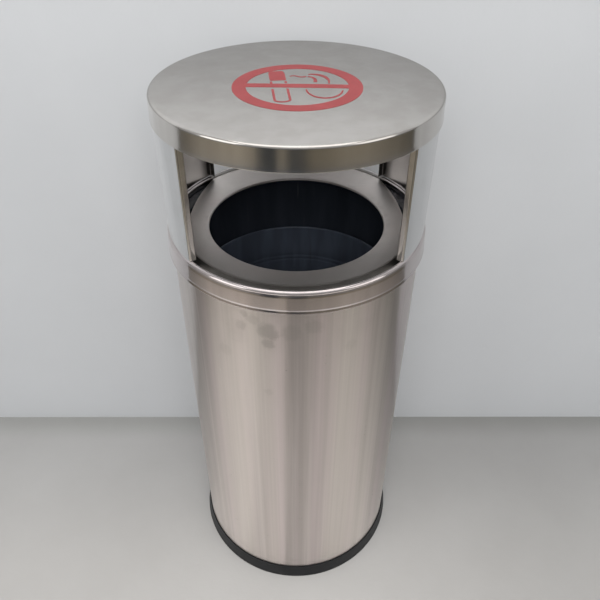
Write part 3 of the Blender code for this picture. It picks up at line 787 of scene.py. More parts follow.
turned("collar", ("hood", "collar_band", "polished_stainless"), [POLISHED], collar,
       circle_angles(seam=(COLLAR_R, 0.0030)), collar_warp, sharp=50)

# ---- Side panels: curved sheets with both upright edges bent inward ----
PANEL_T = 0.0009
PANEL_BEND = 0.0021
RETURN_R = 0.1687                   # the bent edges reach in to here
PANEL_START = math.radians(48.5)    # azimuth of the front edge, from -Y
END_POINTS = 5                      # points that round each cut edge


def panel_mid_path():
    """(radius, azimuth) along the middle of the sheet, front edge to rear edge."""
    mid = PANEL_R - PANEL_T * 0.5
    flange_az = PANEL_START + 0.5 * PANEL_T / mid
    back = PANEL_BEND / mid
    inner = RETURN_R + 0.0004
    edge = [(inner + (mid - PANEL_BEND - inner) * k / 6, flange_az) for k in range(7)]
    for k in range(1, 9):
        q = math.pi / 2 * k / 8
        edge.append((mid - PANEL_BEND * (1 - math.sin(q)),
                     flange_az + back * (1 - math.cos(q))))
    edge.append((mid, flange_az + back * 1.35))
    start, end = flange_az + back, math.pi - flange_az - back
    middle = [(mid, start + (end - start) * k / 60) for k in range(1, 60)]
    return edge + middle + [(r, math.pi - az) for r, az in reversed(edge)]


def edge_round(point, along):
    across = Vector((-along.y, along.x))
    return [point + across * math.cos(math.pi * k / 6) * PANEL_T * 0.5
            + along * math.sin(math.pi * k / 6) * PANEL_T * 0.38
            for k in range(1, END_POINTS + 1)]


def panel(name, node, side):
    points = [Vector((side * r * math.sin(az), -r * math.cos(az)))
              for r, az in panel_mid_path()]
    left, right = [], []
    for i, point in enumerate(points):
        before = (point - points[i - 1]).normalized() if i else None
        after = (points[i + 1] - point).normalized() if i + 1 < len(points) else None
        along = ((before or after) + (after or before)).normalized()
        across = Vector((-along.y, along.x))
        left.append(point + across * PANEL_T * 0.5)
        right.append(point - across * PANEL_T * 0.5)
    outline = left + edge_round(points[-1], (points[-1] - points[-2]).normalized())
    outline += list(reversed(right))
    outline += edge_round(points[0], (points[0] - points[1]).normalized())

    tall = PANEL_Z1 - PANEL_Z0
    heights = [PANEL_Z0, PANEL_Z0 + 0.0004]
    heights += [PANEL_Z0 + tall * k / 14 for k in range(1, 14)]
    heights += [PANEL_Z1 - 0.0004, PANEL_Z1]
    verts = []
    for z in heights:
        for point in outline:
            az = math.atan2(point.x, -point.y)
            r = point.length
            fade = min(1.0, abs(abs(az) - PANEL_START) / 0.10,
                       abs(math.pi - PANEL_START - abs(az)) / 0.10)
            fade *= min(1.0, (z - PANEL_Z0) / 0.03, (PANEL_Z1 - z) / 0.03)
            swell = wave(az, z, seed=11.0 + side, across=0.045, tall=0.12,
                         amount=0.00028) * max(0, fade)
            verts.append((point.x * (r + swell) / r, point.y * (r + swell) / r, z))

    # walls, then the bottom and top edges of the sheet
    size, count = len(outline), len(left)
    faces = ring_quads(len(heights), size)
    right_from = count + END_POINTS
    for base in (0, (len(heights) - 1) * size):
        for i in range(count - 1):
            facing = base + right_from + count - 1 - i
            faces.append((base + i, base + i + 1, facing - 1, facing))
        faces.append(tuple(base + k for k in range(count - 1, right_from + 1)))
        start = list(range(right_from + count - 1, size)) + [0]
        faces.append(tuple(base + k for k in start))
    add_mesh(name, ("hood", node, "polished_stainless"), [PANEL_STEEL], verts, faces,
             sharp=40)


panel("panel_left", "left_panel", -1.0)
panel("panel_right", "right_panel", 1.0)

# ---- Lid: crowned disc with a rounded edge and a hemmed skirt ----
CROWN_R = CAP_R - CAP_EDGE_RAD
EDGE_MID_Z = CAP_EDGE_Z - CAP_EDGE_RAD
SKIRT_Z = CAP_EDGE_Z - 0.0130


def crown(r):
    return CAP_EDGE_Z + CAP_CROWN * (1.0 - (r / CROWN_R) ** 2)


def lid_dents(x, y, fade=1.0):
    return (0.00011 * fade * noise.noise(Vector((x / 0.062, y / 0.062, 3.0)))
            + 0.00002 * fade * noise.noise(Vector((x / 0.02, y / 0.02, 9.0))))


radii = [0.0] + [CROWN_R * (k / 22) for k in range(1, 22)] + [CROWN_R - 0.0016]
cap = [(r, crown(r)) for r in radii]
cap += arc(CROWN_R, EDGE_MID_Z, CAP_EDGE_RAD, CAP_EDGE_RAD, 89, 0, 12)
cap += [(CAP_R, EDGE_MID_Z - 0.0012), (CAP_R + 0.00005, SKIRT_Z)]
cap += offsets(CAP_R, CAP_Z0, ((0.0003, 0.0060), (0.0006, 0.0030), (0.0008, 0.0015)))
cap += arc(CAP_R - 0.0001, CAP_Z0 + 0.0010, 0.0010, 0.0010, 0, -150, 9)
cap += offsets(PANEL_R, CAP_Z0, ((0.0004, 0.0014), (0.0004, 0.0034), (0.0006, 0.0046)))
cap += [(CAP_R - SHEET, CAP_Z0 + 0.0066), (CAP_R - SHEET, SKIRT_Z)]
cap_inside_from = len(cap) - 1
cap += arc(CROWN_R, EDGE_MID_Z, CAP_EDGE_RAD - SHEET, CAP_EDGE_RAD - SHEET, 0, 89, 8)
cap += [(r, crown(r) - SHEET) for r in reversed(radii)]


def cap_warp(r, z, a):
    if z > CAP_EDGE_Z - 0.0015 and r < CROWN_R:
        fade = min(1.0, (CROWN_R - r) / 0.03)
        return r, z + lid_dents(r * math.cos(a), r * math.sin(a), fade)
    swell = wave(a, z, seed=5.5, across=0.055, tall=0.30, amount=0.00014)
    if r > CAP_R - 0.0002 and z < CAP_EDGE_Z - 0.004:
        swell += seam_bead(a, CAP_R, height=-0.00010, width=0.0009)
    return r + swell, z


turned("lid", ("hood", "top_cap", "cap_stainless"), [LID, INSIDE], cap,
       circle_angles(seam=(CAP_R, 0.0030)), cap_warp,
       lambda i: 1 if i >= cap_inside_from else 0, sharp=50)

# ---- Prohibition sign: thin film, cut to shape and laid on the crowned lid ----
FILM = 0.00016
FILM_GAP = 0.00005
SIGN_IN_R = SIGN_R - 0.0167
sign_verts, sign_faces = [], []


def lay(x, y, lift):
    x, y = SIGN_X + x, SIGN_Y + y
    z = crown(math.hypot(x, y)) + lid_dents(x, y)
    return (x, y, z + FILM_GAP + lift)


def film_strip(left, right, closed=False):
    """Solid film strip between two matching edge lines."""
    base = len(sign_verts)
    count = len(left)
    for lift in (0.0, FILM):
        for a, b in zip(left, right):
            for part in (0.0, 0.5, 1.0):
                sign_verts.append(lay(a[0] + (b[0] - a[0]) * part,
                                      a[1] + (b[1] - a[1]) * part, lift))

    def at(i, column, top):
        return base + (count * 3 if top else 0) + (i % count) * 3 + column

    for i in range(count if closed else count - 1):
        for c in (0, 1):
            for top in (False, True):
                sign_faces.append((at(i, c, top), at(i + 1, c, top),
                                   at(i + 1, c + 1, top), at(i, c + 1, top)))
        for c in (0, 2):
            sign_faces.append((at(i, c, False), at(i + 1, c, False),
                               at(i + 1, c, True), at(i, c, True)))
    if not closed:
        for i in (0, count - 1):
            for c in (0, 1):
                sign_faces.append((at(i, c, False), at(i, c + 1, False),
                                   at(i, c + 1, True), at(i, c, True)))


def film_line(points, width):
    """Film stroke along a fine centre line; width is a number or one per point."""
    points = [Vector(p) for p in points]
    left, right = [], []
    for i, point in enumerate(points):
        along = (points[min(i + 1, len(points) - 1)] - points[max(i - 1, 0)]).normalized()
        across = Vector((-along.y, along.x))
        here = width[i] if isinstance(width, list) else width
        left.append(point + across * here / 2)
        right.append(point - across * here / 2)
    film_strip(left, right)


film_strip(circle(SIGN_R, 160), circle(SIGN_IN_R, 160), closed=True)

# cross bar, its ends trimmed to the inside of the ring
BAR_TILT = -0.030
BAR_HALF = 0.0060


def bar_edge(side):
    reach = math.sqrt(SIGN_IN_R ** 2 - side ** 2) + 0.0002
    points = []
    for k in range(41):
        p = Vector(((-1 + 2 * k / 40) * reach, side))
        points.append((p.x * math.cos(BAR_TILT) - p.y * math.sin(BAR_TILT),
                       p.x * math.sin(BAR_TILT) + p.y * math.cos(BAR_TILT)))
    return points


film_strip(bar_edge(BAR_HALF), bar_edge(-BAR_HALF))

# cigarette: an outlined tube with a solid end, leaning a little
LEAN = 0.103
TUBE_X = -0.0218
TUBE_HALF = 0.0089
STROKE = 0.0029


def tube(across, along):
    """Point on the sign from its place across and along the cigarette."""
    return (TUBE_X + across * math.cos(LEAN) - along * math.sin(LEAN),
            along * math.cos(LEAN) + across * math.sin(LEAN))


for side in (-TUBE_HALF, TUBE_HALF):
    film_line([tube(side, 0.0150 - 0.0065 * k / 6) for k in range(7)], STROKE)
outline = [tube(-TUBE_HALF, -0.0105 - 0.0350 * k / 14) for k in range(15)]
outline += [tube(-TUBE_HALF * math.cos(math.pi * k / 16),
                 -0.0455 - 0.0062 * math.sin(math.pi * k / 16)) for k in range(1, 16)]
outline += [tube(TUBE_HALF, -0.0455 + 0.0350 * k / 14) for k in range(15)]
film_line(outline, STROKE)
solid_left, solid_right = [], []
for k in range(25):
    along = 0.0185 + 0.0335 * k / 24
    top_taper = max(0.0, (k - 18) / 6)
    low_taper = max(0.0, (3 - k) / 3)
    half = (TUBE_HALF + 0.0012) * (1 - 0.26 * top_taper ** 2.2 - 0.10 * low_taper ** 2)
    solid_left.append(tube(-half, along))
    solid_right.append(tube(half, along))
film_strip(solid_left, solid_right)

# smoke: a short drift and three curls
film_line([(-0.0095 + 0.0200 * k / 20,
            0.0330 + 0.0022 * math.sin(2 * math.pi * k / 20)) for k in range(21)],
          [0.0016 + 0.0016 * (k / 20) for k in range(21)])
film_line(arc(0.0135, 0.0180, 0.0085, 0.0140, 96, -22, 28),
          [0.0024 + 0.0022 * (k / 28) for k in range(29)])
film_line(arc(0.0185, 0.0150, 0.0200, 0.0260, 104, -14, 28),
          [0.0022 + 0.0030 * math.sin(math.pi * min(1.0, k / 24)) for k in range(29)])
film_line(arc(0.0320, -0.0110, 0.0215, 0.0285, 182, 352, 40),
          [0.0020 + 0.0012 * math.sin(math.pi * k / 40) for k in range(41)])
add_mesh("sign", ("hood", "no_smoking_sign", "red_vinyl"), [VINYL], sign_verts,
         sign_faces, sharp=40)

# ---- Aperture plate: flat-sided ring, dished from a crease down to the hole ----
HOLE_R = 0.1228
SIDE_RAD = 0.3080       # radius of the two flatter side edges
LIP_R = 0.0026
LIP_T = 0.0009
CREASE_Z = SEAT_Z + 0.00537
DISH_DEPTH = 0.0041
EASE = 0.00012          # softness of the crease
LIP_TOP_R = HOLE_R + LIP_R
FALL = (CREASE_Z - SEAT_Z - PLATE_T) / (PLATE_R - CREASE_R)
DISH = DISH_DEPTH / (CREASE_R - HOLE_R - LIP_R)


def eased(x, soft=EASE):
    """x where positive and 0 where negative, with a soft corner."""
    return 0.5 * (x + math.sqrt(x * x + soft * soft))


def plate_edge(phi):
    """Radius of the cut edge; its two arcs meet through a short radius."""
    centre = PLATE_SIDE_X - SIDE_RAD
    along = centre * abs(math.cos(phi))
    side = along + math.sqrt(along * along - (centre * centre - SIDE_RAD ** 2))
    gap, soft = PLATE_R - side, 0.0006
    return 0.5 * (PLATE_R + side - math.sqrt(gap * gap + soft * soft))


def plate_ring(place, drop=0.0, inset=0.0, z=None):
    """place 0..1 runs from the cut edge to the crease, 1..2 on to the lip of the
    hole; drop is measured down from the top face; z overrides the height."""
    ring = []
    for i in range(SEGS):
        phi = 2 * math.pi * i / SEGS
        outer = plate_edge(phi)
        mid = CREASE_R - eased(CREASE_R - outer + 0.0020, 0.0008)
        if place <= 1.0:
            r = outer - inset + (mid - outer) * place
        else:
            r = mid + (LIP_TOP_R - mid) * (place - 1.0)
        dish = DISH_DEPTH / (mid - LIP_TOP_R)
        if math.sin(phi) > 0.0:
            # the rear border runs straight on
            top = CREASE_Z - dish * (mid - r) if r < mid else (
                CREASE_Z + DISH * max(0.0, r - CREASE_R))
        else:
            top = CREASE_Z - eased(FALL * (r - CREASE_R)) - eased(dish * (mid - r))
        if 1.0 < place < 1.95:
            top += 0.00014 * math.sin(math.pi * (place - 1.0)) * noise.noise(
                Vector((r * math.cos(phi) / 0.05, r * math.sin(phi) / 0.05, 2.0)))
        ring.append((r * math.cos(phi), r * math.sin(phi), top - drop if z is None else z))
    return ring


def hole_ring(inset, z):
    return [(x, y, z) for x, y in circle(HOLE_R + inset, SEGS)]


places = [0.3, 0.55, 0.78, 0.90, 0.96, 1.0, 1.02, 1.05, 1.12, 1.25, 1.4, 1.55, 1.7,
          1.85, 1.95]
# skirt and top face
rings = [plate_ring(0.0, inset=0.0001, z=SEAT_Z), plate_ring(0.0, z=SEAT_Z + 0.0002),
         plate_ring(0.0, drop=0.0006), plate_ring(0.0, drop=0.0003),
         plate_ring(0.0, drop=0.0001, inset=0.00012), plate_ring(0.0, inset=0.0004)]
rings += [plate_ring(place) for place in places]
# lip turned down into the hole, and back up its outward side
LIP_MID_Z = CREASE_Z - DISH_DEPTH - 0.5 * EASE - LIP_R
for k in range(9):
    q = math.pi / 2 * k / 8
    rings.append(hole_ring(LIP_R - LIP_R * math.sin(q), LIP_MID_Z + LIP_R * math.cos(q)))
rings += [hole_ring(0.0, PLATE_Z0 + 0.0004), hole_ring(0.0003, PLATE_Z0),
          hole_ring(LIP_T - 0.0002, PLATE_Z0), hole_ring(LIP_T, PLATE_Z0 + 0.0003)]
for k in range(5):
    q = math.pi / 2 * (1 - k / 4)
    rings.append(hole_ring(LIP_R - (LIP_R - LIP_T) * math.sin(q),
                           LIP_MID_Z + (LIP_R - LIP_T) * math.cos(q)))
# underside
rings += [plate_ring(place, drop=PLATE_T) for place in reversed(places[1:-1])]
rings += [plate_ring(0.0, drop=PLATE_T, inset=PLATE_T + 0.0003),
          plate_ring(0.0, drop=PLATE_T + 0.0001, inset=PLATE_T),
          plate_ring(0.0, inset=PLATE_T, z=SEAT_Z + 0.0001),
          plate_ring(0.0, inset=PLATE_T - 0.0001, z=SEAT_Z)]
add_mesh("plate_ring", ("plate", "aperture_plate", "satin_stainless"), [SATIN],
         [v for ring in rings for v in ring],
         ring_quads(len(rings), SEGS, closed=True), sharp=50)

# ---- Bucket: tapered wall with a rim rolled round a wire ----
RIM_ROLL = 0.0025
RIM_R = box_max("inner_bucket").x - RIM_ROLL
RIM_Z = box_max("inner_bucket").z - RIM_ROLL
BUCKET_TOP_R, BUCKET_FOOT_R = 0.1511, 0.1400
BUCKET_SLOPE = (BUCKET_TOP_R - BUCKET_FOOT_R) / (RIM_Z - BUCKET_Z0)
BEAD_HEIGHTS = (0.500, 0.4925)
LAP_R = 0.15            # radius at which the rear lap seam is measured


def bucket_out(z):
    return BUCKET_FOOT_R + BUCKET_SLOPE * (z - BUCKET_Z0)


def bucket_wall(z):
    """Two shallow rolled beads stiffen the wall under the rim."""
    r = bucket_out(z)
    for bead in BEAD_HEIGHTS:
        r += 0.0009 * math.exp(-((z - bead) / 0.0021) ** 2)
    return r


wall_z = [RIM_Z - 0.004]
z = RIM_Z - 0.012
# (down to this height, step): fine only across the beads
for stop, step in ((0.512, 0.010), (0.480, 0.0009), (BUCKET_Z0 + 0.004, 0.024)):
    while z > stop:
        wall_z.append(z)
        z -= step
wall_z.append(BUCKET_Z0 + 0.0008)
bucket = arc(RIM_R, RIM_Z, RIM_ROLL, RIM_ROLL, 90, -100, 18)
bucket += arc(RIM_R, RIM_Z, 0.0017, 0.0017, -100, 180, 22)
bucket += [(bucket_wall(z), z) for z in wall_z]
bucket += [(BUCKET_FOOT_R - 0.0002, BUCKET_Z0), (BUCKET_FOOT_R - SHEET + 0.0002, BUCKET_Z0)]
bucket_inside_from = len(bucket) - 1
bucket += [(bucket_wall(z) - SHEET, z) for z in reversed(wall_z)]
bucket += arc(RIM_R, RIM_Z, RIM_ROLL, RIM_ROLL, 180, 100, 8)


def bucket_warp(r, z, a):
    fade = min(1.0, max(0.0, (RIM_Z - 0.006 - z) / 0.04))
    swell = wave(a, z, seed=9.2, across=0.060, tall=0.40, amount=0.00045) * fade
    # lap seam down the rear
    away = math.remainder(a - REAR, 2 * math.pi) * LAP_R
    lap = (0.5 * (1 + math.tanh((away + 0.004) / 0.0007))
           - 0.5 * (1 + math.tanh((away - 0.004) / 0.0007)))
    if z < RIM_Z - 0.004:
        swell += 0.00045 * lap
    return r + swell, z


turned("bucket", ("bucket", "inner_bucket", "black_enamel"), [ENAMEL_OUT, ENAMEL_INSIDE_PAINTED_LIGHT], bucket,
       circle_angles(320, seam=(LAP_R, 0.0062)), bucket_warp,
       lambda i: 1 if i >= bucket_inside_from else 0, sharp=50)

turned("rim_core", ("bucket", "rim_wire", "zinc_wire"), [WIRE],
       arc(RIM_R, RIM_Z, 0.0013, 0.0013, 0, 337.5, 15), circle_angles(256))

PAN_R = BUCKET_FOOT_R - SHEET - 0.0004
turned("bucket_pan", ("bucket", "bucket_bottom", "black_enamel"), [ENAMEL_INSIDE_PAINTED_LIGHT], rounded([
    (0.0, PAN_Z1), (0.050, PAN_Z1, 0.004), (0.053, PAN_Z1 - 0.0011, 0.004),
    (0.066, PAN_Z1 - 0.0011, 0.004), (0.069, PAN_Z1, 0.004),
    (PAN_R - 0.0004, PAN_Z1, 0.0016), (PAN_R, PAN_Z1 - 0.0014, 0.0010),
    (PAN_R, PAN_Z0, 0.0003), (PAN_R - SHEET, PAN_Z0, 0.0003),
    (PAN_R - SHEET, PAN_Z1 - 0.0016, 0.0008), (PAN_R - 0.0018, PAN_Z1 - SHEET, 0.0006),
    (0.070, PAN_Z1 - SHEET, 0.004), (0.067, PAN_Z1 - 0.0019, 0.004),
    (0.052, PAN_Z1 - 0.0019, 0.004), (0.049, PAN_Z1 - SHEET, 0.004),
    (0.0, PAN_Z1 - SHEET)]), circle_angles(192))

# ---- Ears and rivets: each ear is a plate with a handle hole and two rivet holes ----
EAR_T = 0.0015
EAR_HALF = 0.0105 - 0.0002
EAR_TOP_R = 0.0068
EAR_BEVEL = 0.0002
RIVET_Y, RIVET_Z = 0.0060, 0.5380


def ear(name, node, side):
    inner = box_max(node).x if side < 0 else box_min(node).x
    foot = box_min(node).z
    corners = [(EAR_HALF, foot + 0.0002, 0.0020), (EAR_HALF, foot + 0.0152, 0.0040)]
    corners += arc(0.0, BAIL_Z, EAR_TOP_R, EAR_TOP_R, 6, 174, 12)
    corners += [(-x, z, radius) for x, z, radius in reversed(corners[:2])]
    loops = [rounded(corners, 6), circle(0.0022, 28, y=BAIL_Z)]
    loops += [circle(0.0023, 24, x=y, y=RIVET_Z) for y in (-RIVET_Y, RIVET_Y)]
    curve = bpy.data.curves.new(node + "_form", "CURVE")
    curve.dimensions = "2D"
    curve.fill_mode = "BOTH"
    for points in loops:
        spline = curve.splines.new("POLY")
        spline.points.add(len(points) - 1)
        for target, point in zip(spline.points, points):
            target.co = (point[0], point[1], 0.0, 1.0)
        spline.use_cyclic_u = True
    curve.extrude = EAR_T / 2 - EAR_BEVEL
    curve.bevel_depth = EAR_BEVEL
    curve.bevel_resolution = 2
    form = bpy.data.objects.new(node + "_form", curve)
    bpy.context.scene.collection.objects.link(form)
    bpy.context.view_layer.update()
    graph = bpy.context.evaluated_depsgraph_get()
    mesh = bpy.data.meshes.new_from_object(form.evaluated_get(graph))
    bpy.data.objects.remove(form)
    middle_x = inner + side * EAR_T / 2
    # local x becomes world y, local y becomes world z, local z becomes world x
    mesh.transform(Matrix(((0, 0, 1, middle_x), (1, 0, 0, 0), (0, 1, 0, 0),
                           (0, 0, 0, 1))))
    work = bmesh.new()
    work.from_mesh(mesh)
    bmesh.ops.remove_doubles(work, verts=work.verts[:], dist=2e-6)
    store_solid(work, mesh)
    mesh.materials.clear()
    mesh.name = name
    add_object(name, ("bucket", node, "black_enamel"), [ENAMEL_OUT], mesh, sharp=40)


def rivet(name, node, side):
    low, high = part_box(node)
    inner = high.x if side < 0 else low.x
    length = high.x - low.x
    head = 0.5 * (high.z - low.z)
    dome, back_dome, shank = 0.0017, 0.0014, 0.0019
    profile = [(0.0, length)]
    profile += arc(0.0, length - dome, head, dome, 80, 6, 8)
    profile += [(head * 0.98, length - dome), (shank, length - dome),
                (shank, back_dome), (head * 0.98, back_dome)]
    profile += arc(0.0, back_dome, head, back_dome, -6, -80, 8)
    profile += [(0.0, 0.0)]
    move = Matrix.Translation((inner, 0.5 * (low.y + high.y), 0.5 * (low.z + high.z)))
    move = move @ Matrix.Rotation(side * math.pi / 2, 4, "Y")
    turned(name, ("bucket", node, "zinc_wire"), [WIRE], profile, circle_angles(28),
           move=move)


for label, side in (("left", -1.0), ("right", 1.0)):
    ear(label + "_lug", label + "_ear", side)
    for end in ("front", "rear"):
        rivet(f"{label}_rivet_{end}", f"{label}_ear_rivet_{end}", side)

# ---- Handle: wire bow round the front, upset into a head inside each ear ----
BAIL_R, BAIL_WIRE, BAIL_TURN = 0.1528, 0.0018, 0.0040
WIRE_SIDES = 18
# x, wire radius: from the head out through the ear
BAIL_END = ((0.14405, 0.0004), (0.14405, 0.0014), (0.14412, 0.0022), (0.14430, 0.0027),
            (0.14455, 0.0029), (0.14515, 0.0029), (0.14540, 0.0027), (0.14558, 0.0022),
            (0.14568, BAIL_WIRE), (0.1462, BAIL_WIRE), (BAIL_R - BAIL_TURN, BAIL_WIRE))
path = [(Vector((x, 0.0, BAIL_Z)), r) for x, r in BAIL_END]
for k in range(1, 11):
    a = math.pi / 2 * k / 10
    path.append((Vector((BAIL_R - BAIL_TURN + BAIL_TURN * math.sin(a),
                         -BAIL_TURN + BAIL_TURN * math.cos(a), BAIL_Z)), BAIL_WIRE))
bow_start = math.asin(BAIL_TURN / BAIL_R)
for k in range(1, 65):
    a = bow_start + (math.pi / 2 - bow_start) * k / 64
    path.append((Vector((BAIL_R * math.cos(a), -BAIL_R * math.sin(a), BAIL_Z)),
                 BAIL_WIRE))
path += [(Vector((-p.x, p.y, p.z)), r) for p, r in reversed(path[:-1])]
verts = []
for i, (point, r) in enumerate(path):
    along = path[min(i + 1, len(path) - 1)][0] - path[max(i - 1, 0)][0]
    if along.length < 1e-7:
        along = Vector((1, 0, 0))
    along.normalize()
    across = Vector((-along.y, along.x, 0.0))
    for k in range(WIRE_SIDES):
        q = 2 * math.pi * k / WIRE_SIDES
        verts.append(point + across * r * math.cos(q)
                     + Vector((0, 0, 1)) * r * math.sin(q))
faces = ring_quads(len(path), WIRE_SIDES)
faces.append(tuple(range(WIRE_SIDES)))
faces.append(tuple((len(path) - 1) * WIRE_SIDES + k for k in range(WIRE_SIDES)))
add_mesh("handle_bow", ("handle", "bucket_handle", "zinc_wire"), [WIRE], verts, faces,
         sharp=45)

# ---- Studio: pale floor, pale backdrop, soft light, camera ----
scene = bpy.context.scene
scene.view_settings.view_transform = "Standard"
scene.view_settings.look = "None"
scene.view_settings.exposure = 0.0

# The floor as polished sheet sees it: painted light and shade in softly shaded strips, as
# in a lit room.
# azimuth in degrees from the front towards +X, brightness
STRIPS = (
    (-180, .55), (-150, .66), (-128, .40), (-117, .32), (-99, .31), (-85, .48),
    (-73, .82), (-62, .84), (-51, .94), (-41, .98), (-33, .66), (-25, .66), (-14, .70),
    (-8.6, .66), (-7.2, .15), (4, .25), (13, .37), (22, .53), (31, .71), (40, .79),
    (50, .78), (60, .67), (72, .51), (84, .37), (98, .30), (115, .25), (142, .42),
    (180, .55))
# azimuth, brightness or colour: painted shade, darker strips further out, in front
FAR_STRIPS = (
    (-180, 1.0), (-31, 1.0), (-27, (0.42, 0.44, 0.48)), (-22, (0.15, 0.18, 0.23)),
    (-15, (0.15, 0.18, 0.23)), (-12.5, 0.78), (-6, 0.78), (-3.5, (0.30, 0.34, 0.42)),
    (3, (0.38, 0.41, 0.46)), (8, (0.60, 0.60, 0.58)), (10.5, (1.02, 1.0, 0.93)),
    (60, (1.0, 0.99, 0.96)))
# distance from the axis / 4 m, how strongly the strips show
STRIP_DEPTH = ((0.0, .40), (0.10, .46), (0.15, .66), (0.2175, 1.0), (0.25, .70),
               (0.29, .62), (0.40, .70), (1.0, .5))
# distance from the axis / 4 m, brightness or colour
STRIP_FADE = (
    (0.0, 1.72), (0.12, 1.70), (0.17, 1.80), (0.215, 1.98), (0.265, (1.10, 1.05, 0.985)),
    (0.32, (0.73, 0.67, 0.575)), (0.43, (0.56, 0.495, 0.375)), (0.62, (0.61, 0.57, 0.50)),
    (1.0, 0.78))
WHITE = (1.0, 1.0, 1.0)


def stage_quad(name, corners, mat):
    mesh = bpy.data.meshes.new(name)
    mesh.from_pydata(corners, [], [(0, 1, 2, 3)])
    mesh.materials.append(mat)
    obj = bpy.data.objects.new(name, mesh)
    scene.collection.objects.link(obj)


def paint(name, dark, light, rough, scale):
    m = Mat(name)
    m.base(m.noise(scale, detail=5).ease(0.3, 0.7), dark, light)
    m.set(Roughness=rough, Normal=m.relief([(m.noise(scale * 30), 0.0003)]),
          Specular_IOR_Level=0.25)
    return m


def floor_paint():
    m = paint("studio_floor", dark=(0.50, 0.488, 0.475), light=(0.545, 0.534, 0.522),
              rough=0.62, scale=2.2)
    azimuth = m.math("ARCTAN2", m.x, m.y * -1.0)
    azimuth = azimuth.ease(-math.pi, math.pi, smooth=False)

    def round_ramp(table):
        return m.ramp(azimuth, [((degrees + 180) / 360, v) for degrees, v in table])

    reach = m.radial()
    strips = m.mix(m.ramp(reach * 0.25, STRIP_DEPTH), WHITE, round_ramp(STRIPS))
    seen = m.multiply(strips, m.ramp(reach * 0.25, STRIP_FADE))
    seen = m.mix(reach.ease(1.25, 1.55), seen, m.multiply(seen, round_ramp(FAR_STRIPS)))
    # only reflections see the strips
    seen = m.mix(m.node("LightPath", out="Is Glossy Ray"), WHITE, seen)
    # painted light and shade: brighter in front, with a painted shadow band behind the bin
    painted_floor_shade = m.mix(m.y.ease(0.16, -0.25), (0.80, 0.81, 0.82), (0.97, 0.97, 0.965))
    painted_floor_shade = m.mix(m.y.ease(0.13, 0.20), painted_floor_shade, (0.62, 0.635, 0.63))
    painted_floor_shade = m.mix(m.y.ease(0.205, 0.32), painted_floor_shade, (0.88, 0.885, 0.885))
    colour = m.multiply(m.colour, painted_floor_shade)
    # painted shade: darker towards +X
    colour = m.multiply(colour, m.grey(m.x.ease(-0.05, 0.60, to=(1.0, 0.80))))
    m.set(Base_Color=m.multiply(colour, seen))
    return m.mat


def wall_paint():
    m = paint("studio_wall", dark=(0.555, 0.570, 0.588), light=(0.585, 0.600, 0.618),
              rough=0.6, scale=1.6)
    # painted light and shade seen only in reflections: brighter behind the bin below lid
    # height, darkest just above it, brighter higher up, darker towards +X
    rays = m.node("LightPath")
    narrow = abs(m.x).ease(0.11, 0.15, to=(0.95, 0.0))
    wall_painted_light = m.z.ease(0.86, 1.06, to=(0.66, 1.20))
    wall_painted_light = wall_painted_light + m.z.ease(0.80, 0.86, to=(narrow + 0.42, 0.0))
    wall_painted_light = wall_painted_light * m.x.ease(0.10, 0.30, to=(1.0, 0.84))
    wall_painted_light = m.mix(rays.output("Is Glossy Ray"), WHITE, m.grey(wall_painted_light))
    # painted glow: the wall gives off a faint light of its own
    m.set(Base_Color=m.multiply(m.colour, wall_painted_light), Emission_Color=(0.93, 0.965, 1.0),
          Emission_Strength=0.02)
    # clear from behind, and to camera rays that graze it or come from behind
    geometry = m.node("NewGeometry")
    front = m.node("VectorMath", {0: geometry.output("Incoming"), 1: (0.0, -1.0, 0.0)},
                   out="Value", operation="DOT_PRODUCT")
    grazing = front.ease(0.16, 0.36, to=(1.0, 0.0)) * rays.output("Is Camera Ray")
    clear = grazing.maximum(geometry.output("Backfacing"))
    surface = m.node("MixShader", {0: clear, 1: Value(m, m.bsdf.outputs[0]),
                                   2: m.node("BsdfTransparent")})
    output = next(n for n in m.tree.nodes if n.type == "OUTPUT_MATERIAL")
    m.put(output.inputs["Surface"], surface)
    return m.mat


FLOOR_HALF, FLOOR_Z = 14.0, -0.0002
stage_quad("studio_floor", [(x * FLOOR_HALF, y * FLOOR_HALF, FLOOR_Z)
                            for x, y in ((-1, -1), (1, -1), (1, 1), (-1, 1))],
           floor_paint())
WALL_Y = box_max("base_ring").y + 0.0205
WALL_HALF, WALL_H = 2.6, 2.6
stage_quad("studio_wall", [(-WALL_HALF, WALL_Y, 0.0), (WALL_HALF, WALL_Y, 0.0),
                           (WALL_HALF, WALL_Y, WALL_H), (-WALL_HALF, WALL_Y, WALL_H)],
           wall_paint())


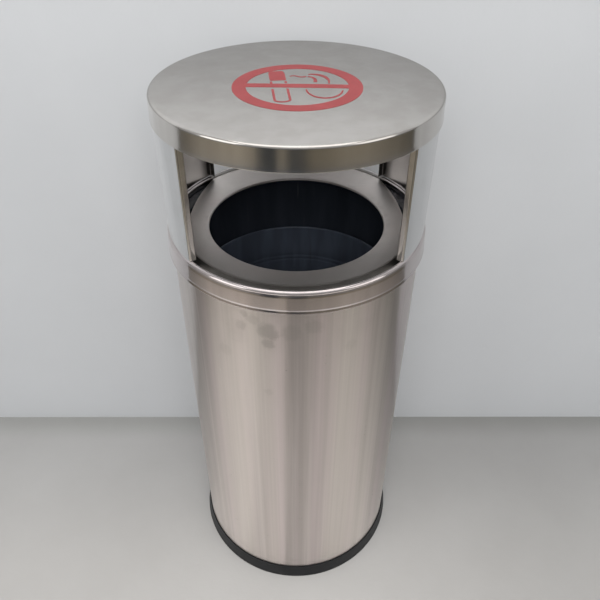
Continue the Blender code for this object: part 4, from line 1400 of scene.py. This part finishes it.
def area(name, place, aim, size, power, colour):
    light = bpy.data.lights.new(name, "AREA")
    light.shape = "RECTANGLE"
    light.size, light.size_y = size
    light.energy = power
    light.color = colour
    obj = bpy.data.objects.new(name, light)
    scene.collection.objects.link(obj)
    obj.location = place
    towards = Vector(aim) - Vector(place)
    obj.rotation_euler = towards.to_track_quat("-Z", "Y").to_euler()
    return obj


area("overhead_soft", place=(0.0, -1.0, 2.9), aim=(0, -0.2, 0.3), size=(2.8, 2.0),
     power=20, colour=(1.0, 0.99, 0.975))
fill = area("front_soft", place=(0.0, -1.75, 2.05), aim=(0, 0.1, 0.5), size=(1.5, 0.9),
            power=26, colour=(1.0, 0.99, 0.98))
fill.visible_glossy = False
area("left_soft", place=(-2.4, -1.6, 1.7), aim=(0, 0, 0.4), size=(1.6, 2.0),
     power=13, colour=(1.0, 0.99, 0.98))
area("right_soft", place=(2.4, -1.5, 1.7), aim=(0, 0, 0.4), size=(1.6, 2.0),
     power=10, colour=(1.0, 0.98, 0.96))

# World: grey that brightens upward
world = bpy.data.worlds.new("studio_air")
scene.world = world
world.use_nodes = True
air = Graph(world.node_tree, "Generated")
sky = air.ramp(air.z.ease(-0.3, 1.0, smooth=False), [
    (0.10, (0.46, 0.455, 0.45)), (0.26, (0.56, 0.56, 0.565)), (0.75, (0.92, 0.92, 0.915))])
background = world.node_tree.nodes["Background"]
air.put(background.inputs["Color"], sky)
background.inputs["Strength"].default_value = 0.63

# Camera: in front and above, looking down; the small angles are pan and roll
CAMERA_TILT, CAMERA_PAN, CAMERA_ROLL = 51.19, -0.42, 0.28
camera_data = bpy.data.cameras.new("camera")
camera_data.sensor_width = 36.0
camera_data.lens = 36.31
camera = bpy.data.objects.new("camera", camera_data)
scene.collection.objects.link(camera)
camera.location = (0.0, -0.7392, 1.1113)
camera.rotation_euler = (Matrix.Rotation(math.radians(CAMERA_PAN), 4, "Z")
                         @ Matrix.Rotation(math.radians(CAMERA_TILT), 4, "X")
                         @ Matrix.Rotation(math.radians(CAMERA_ROLL), 4, "Z")).to_euler()
scene.camera = camera
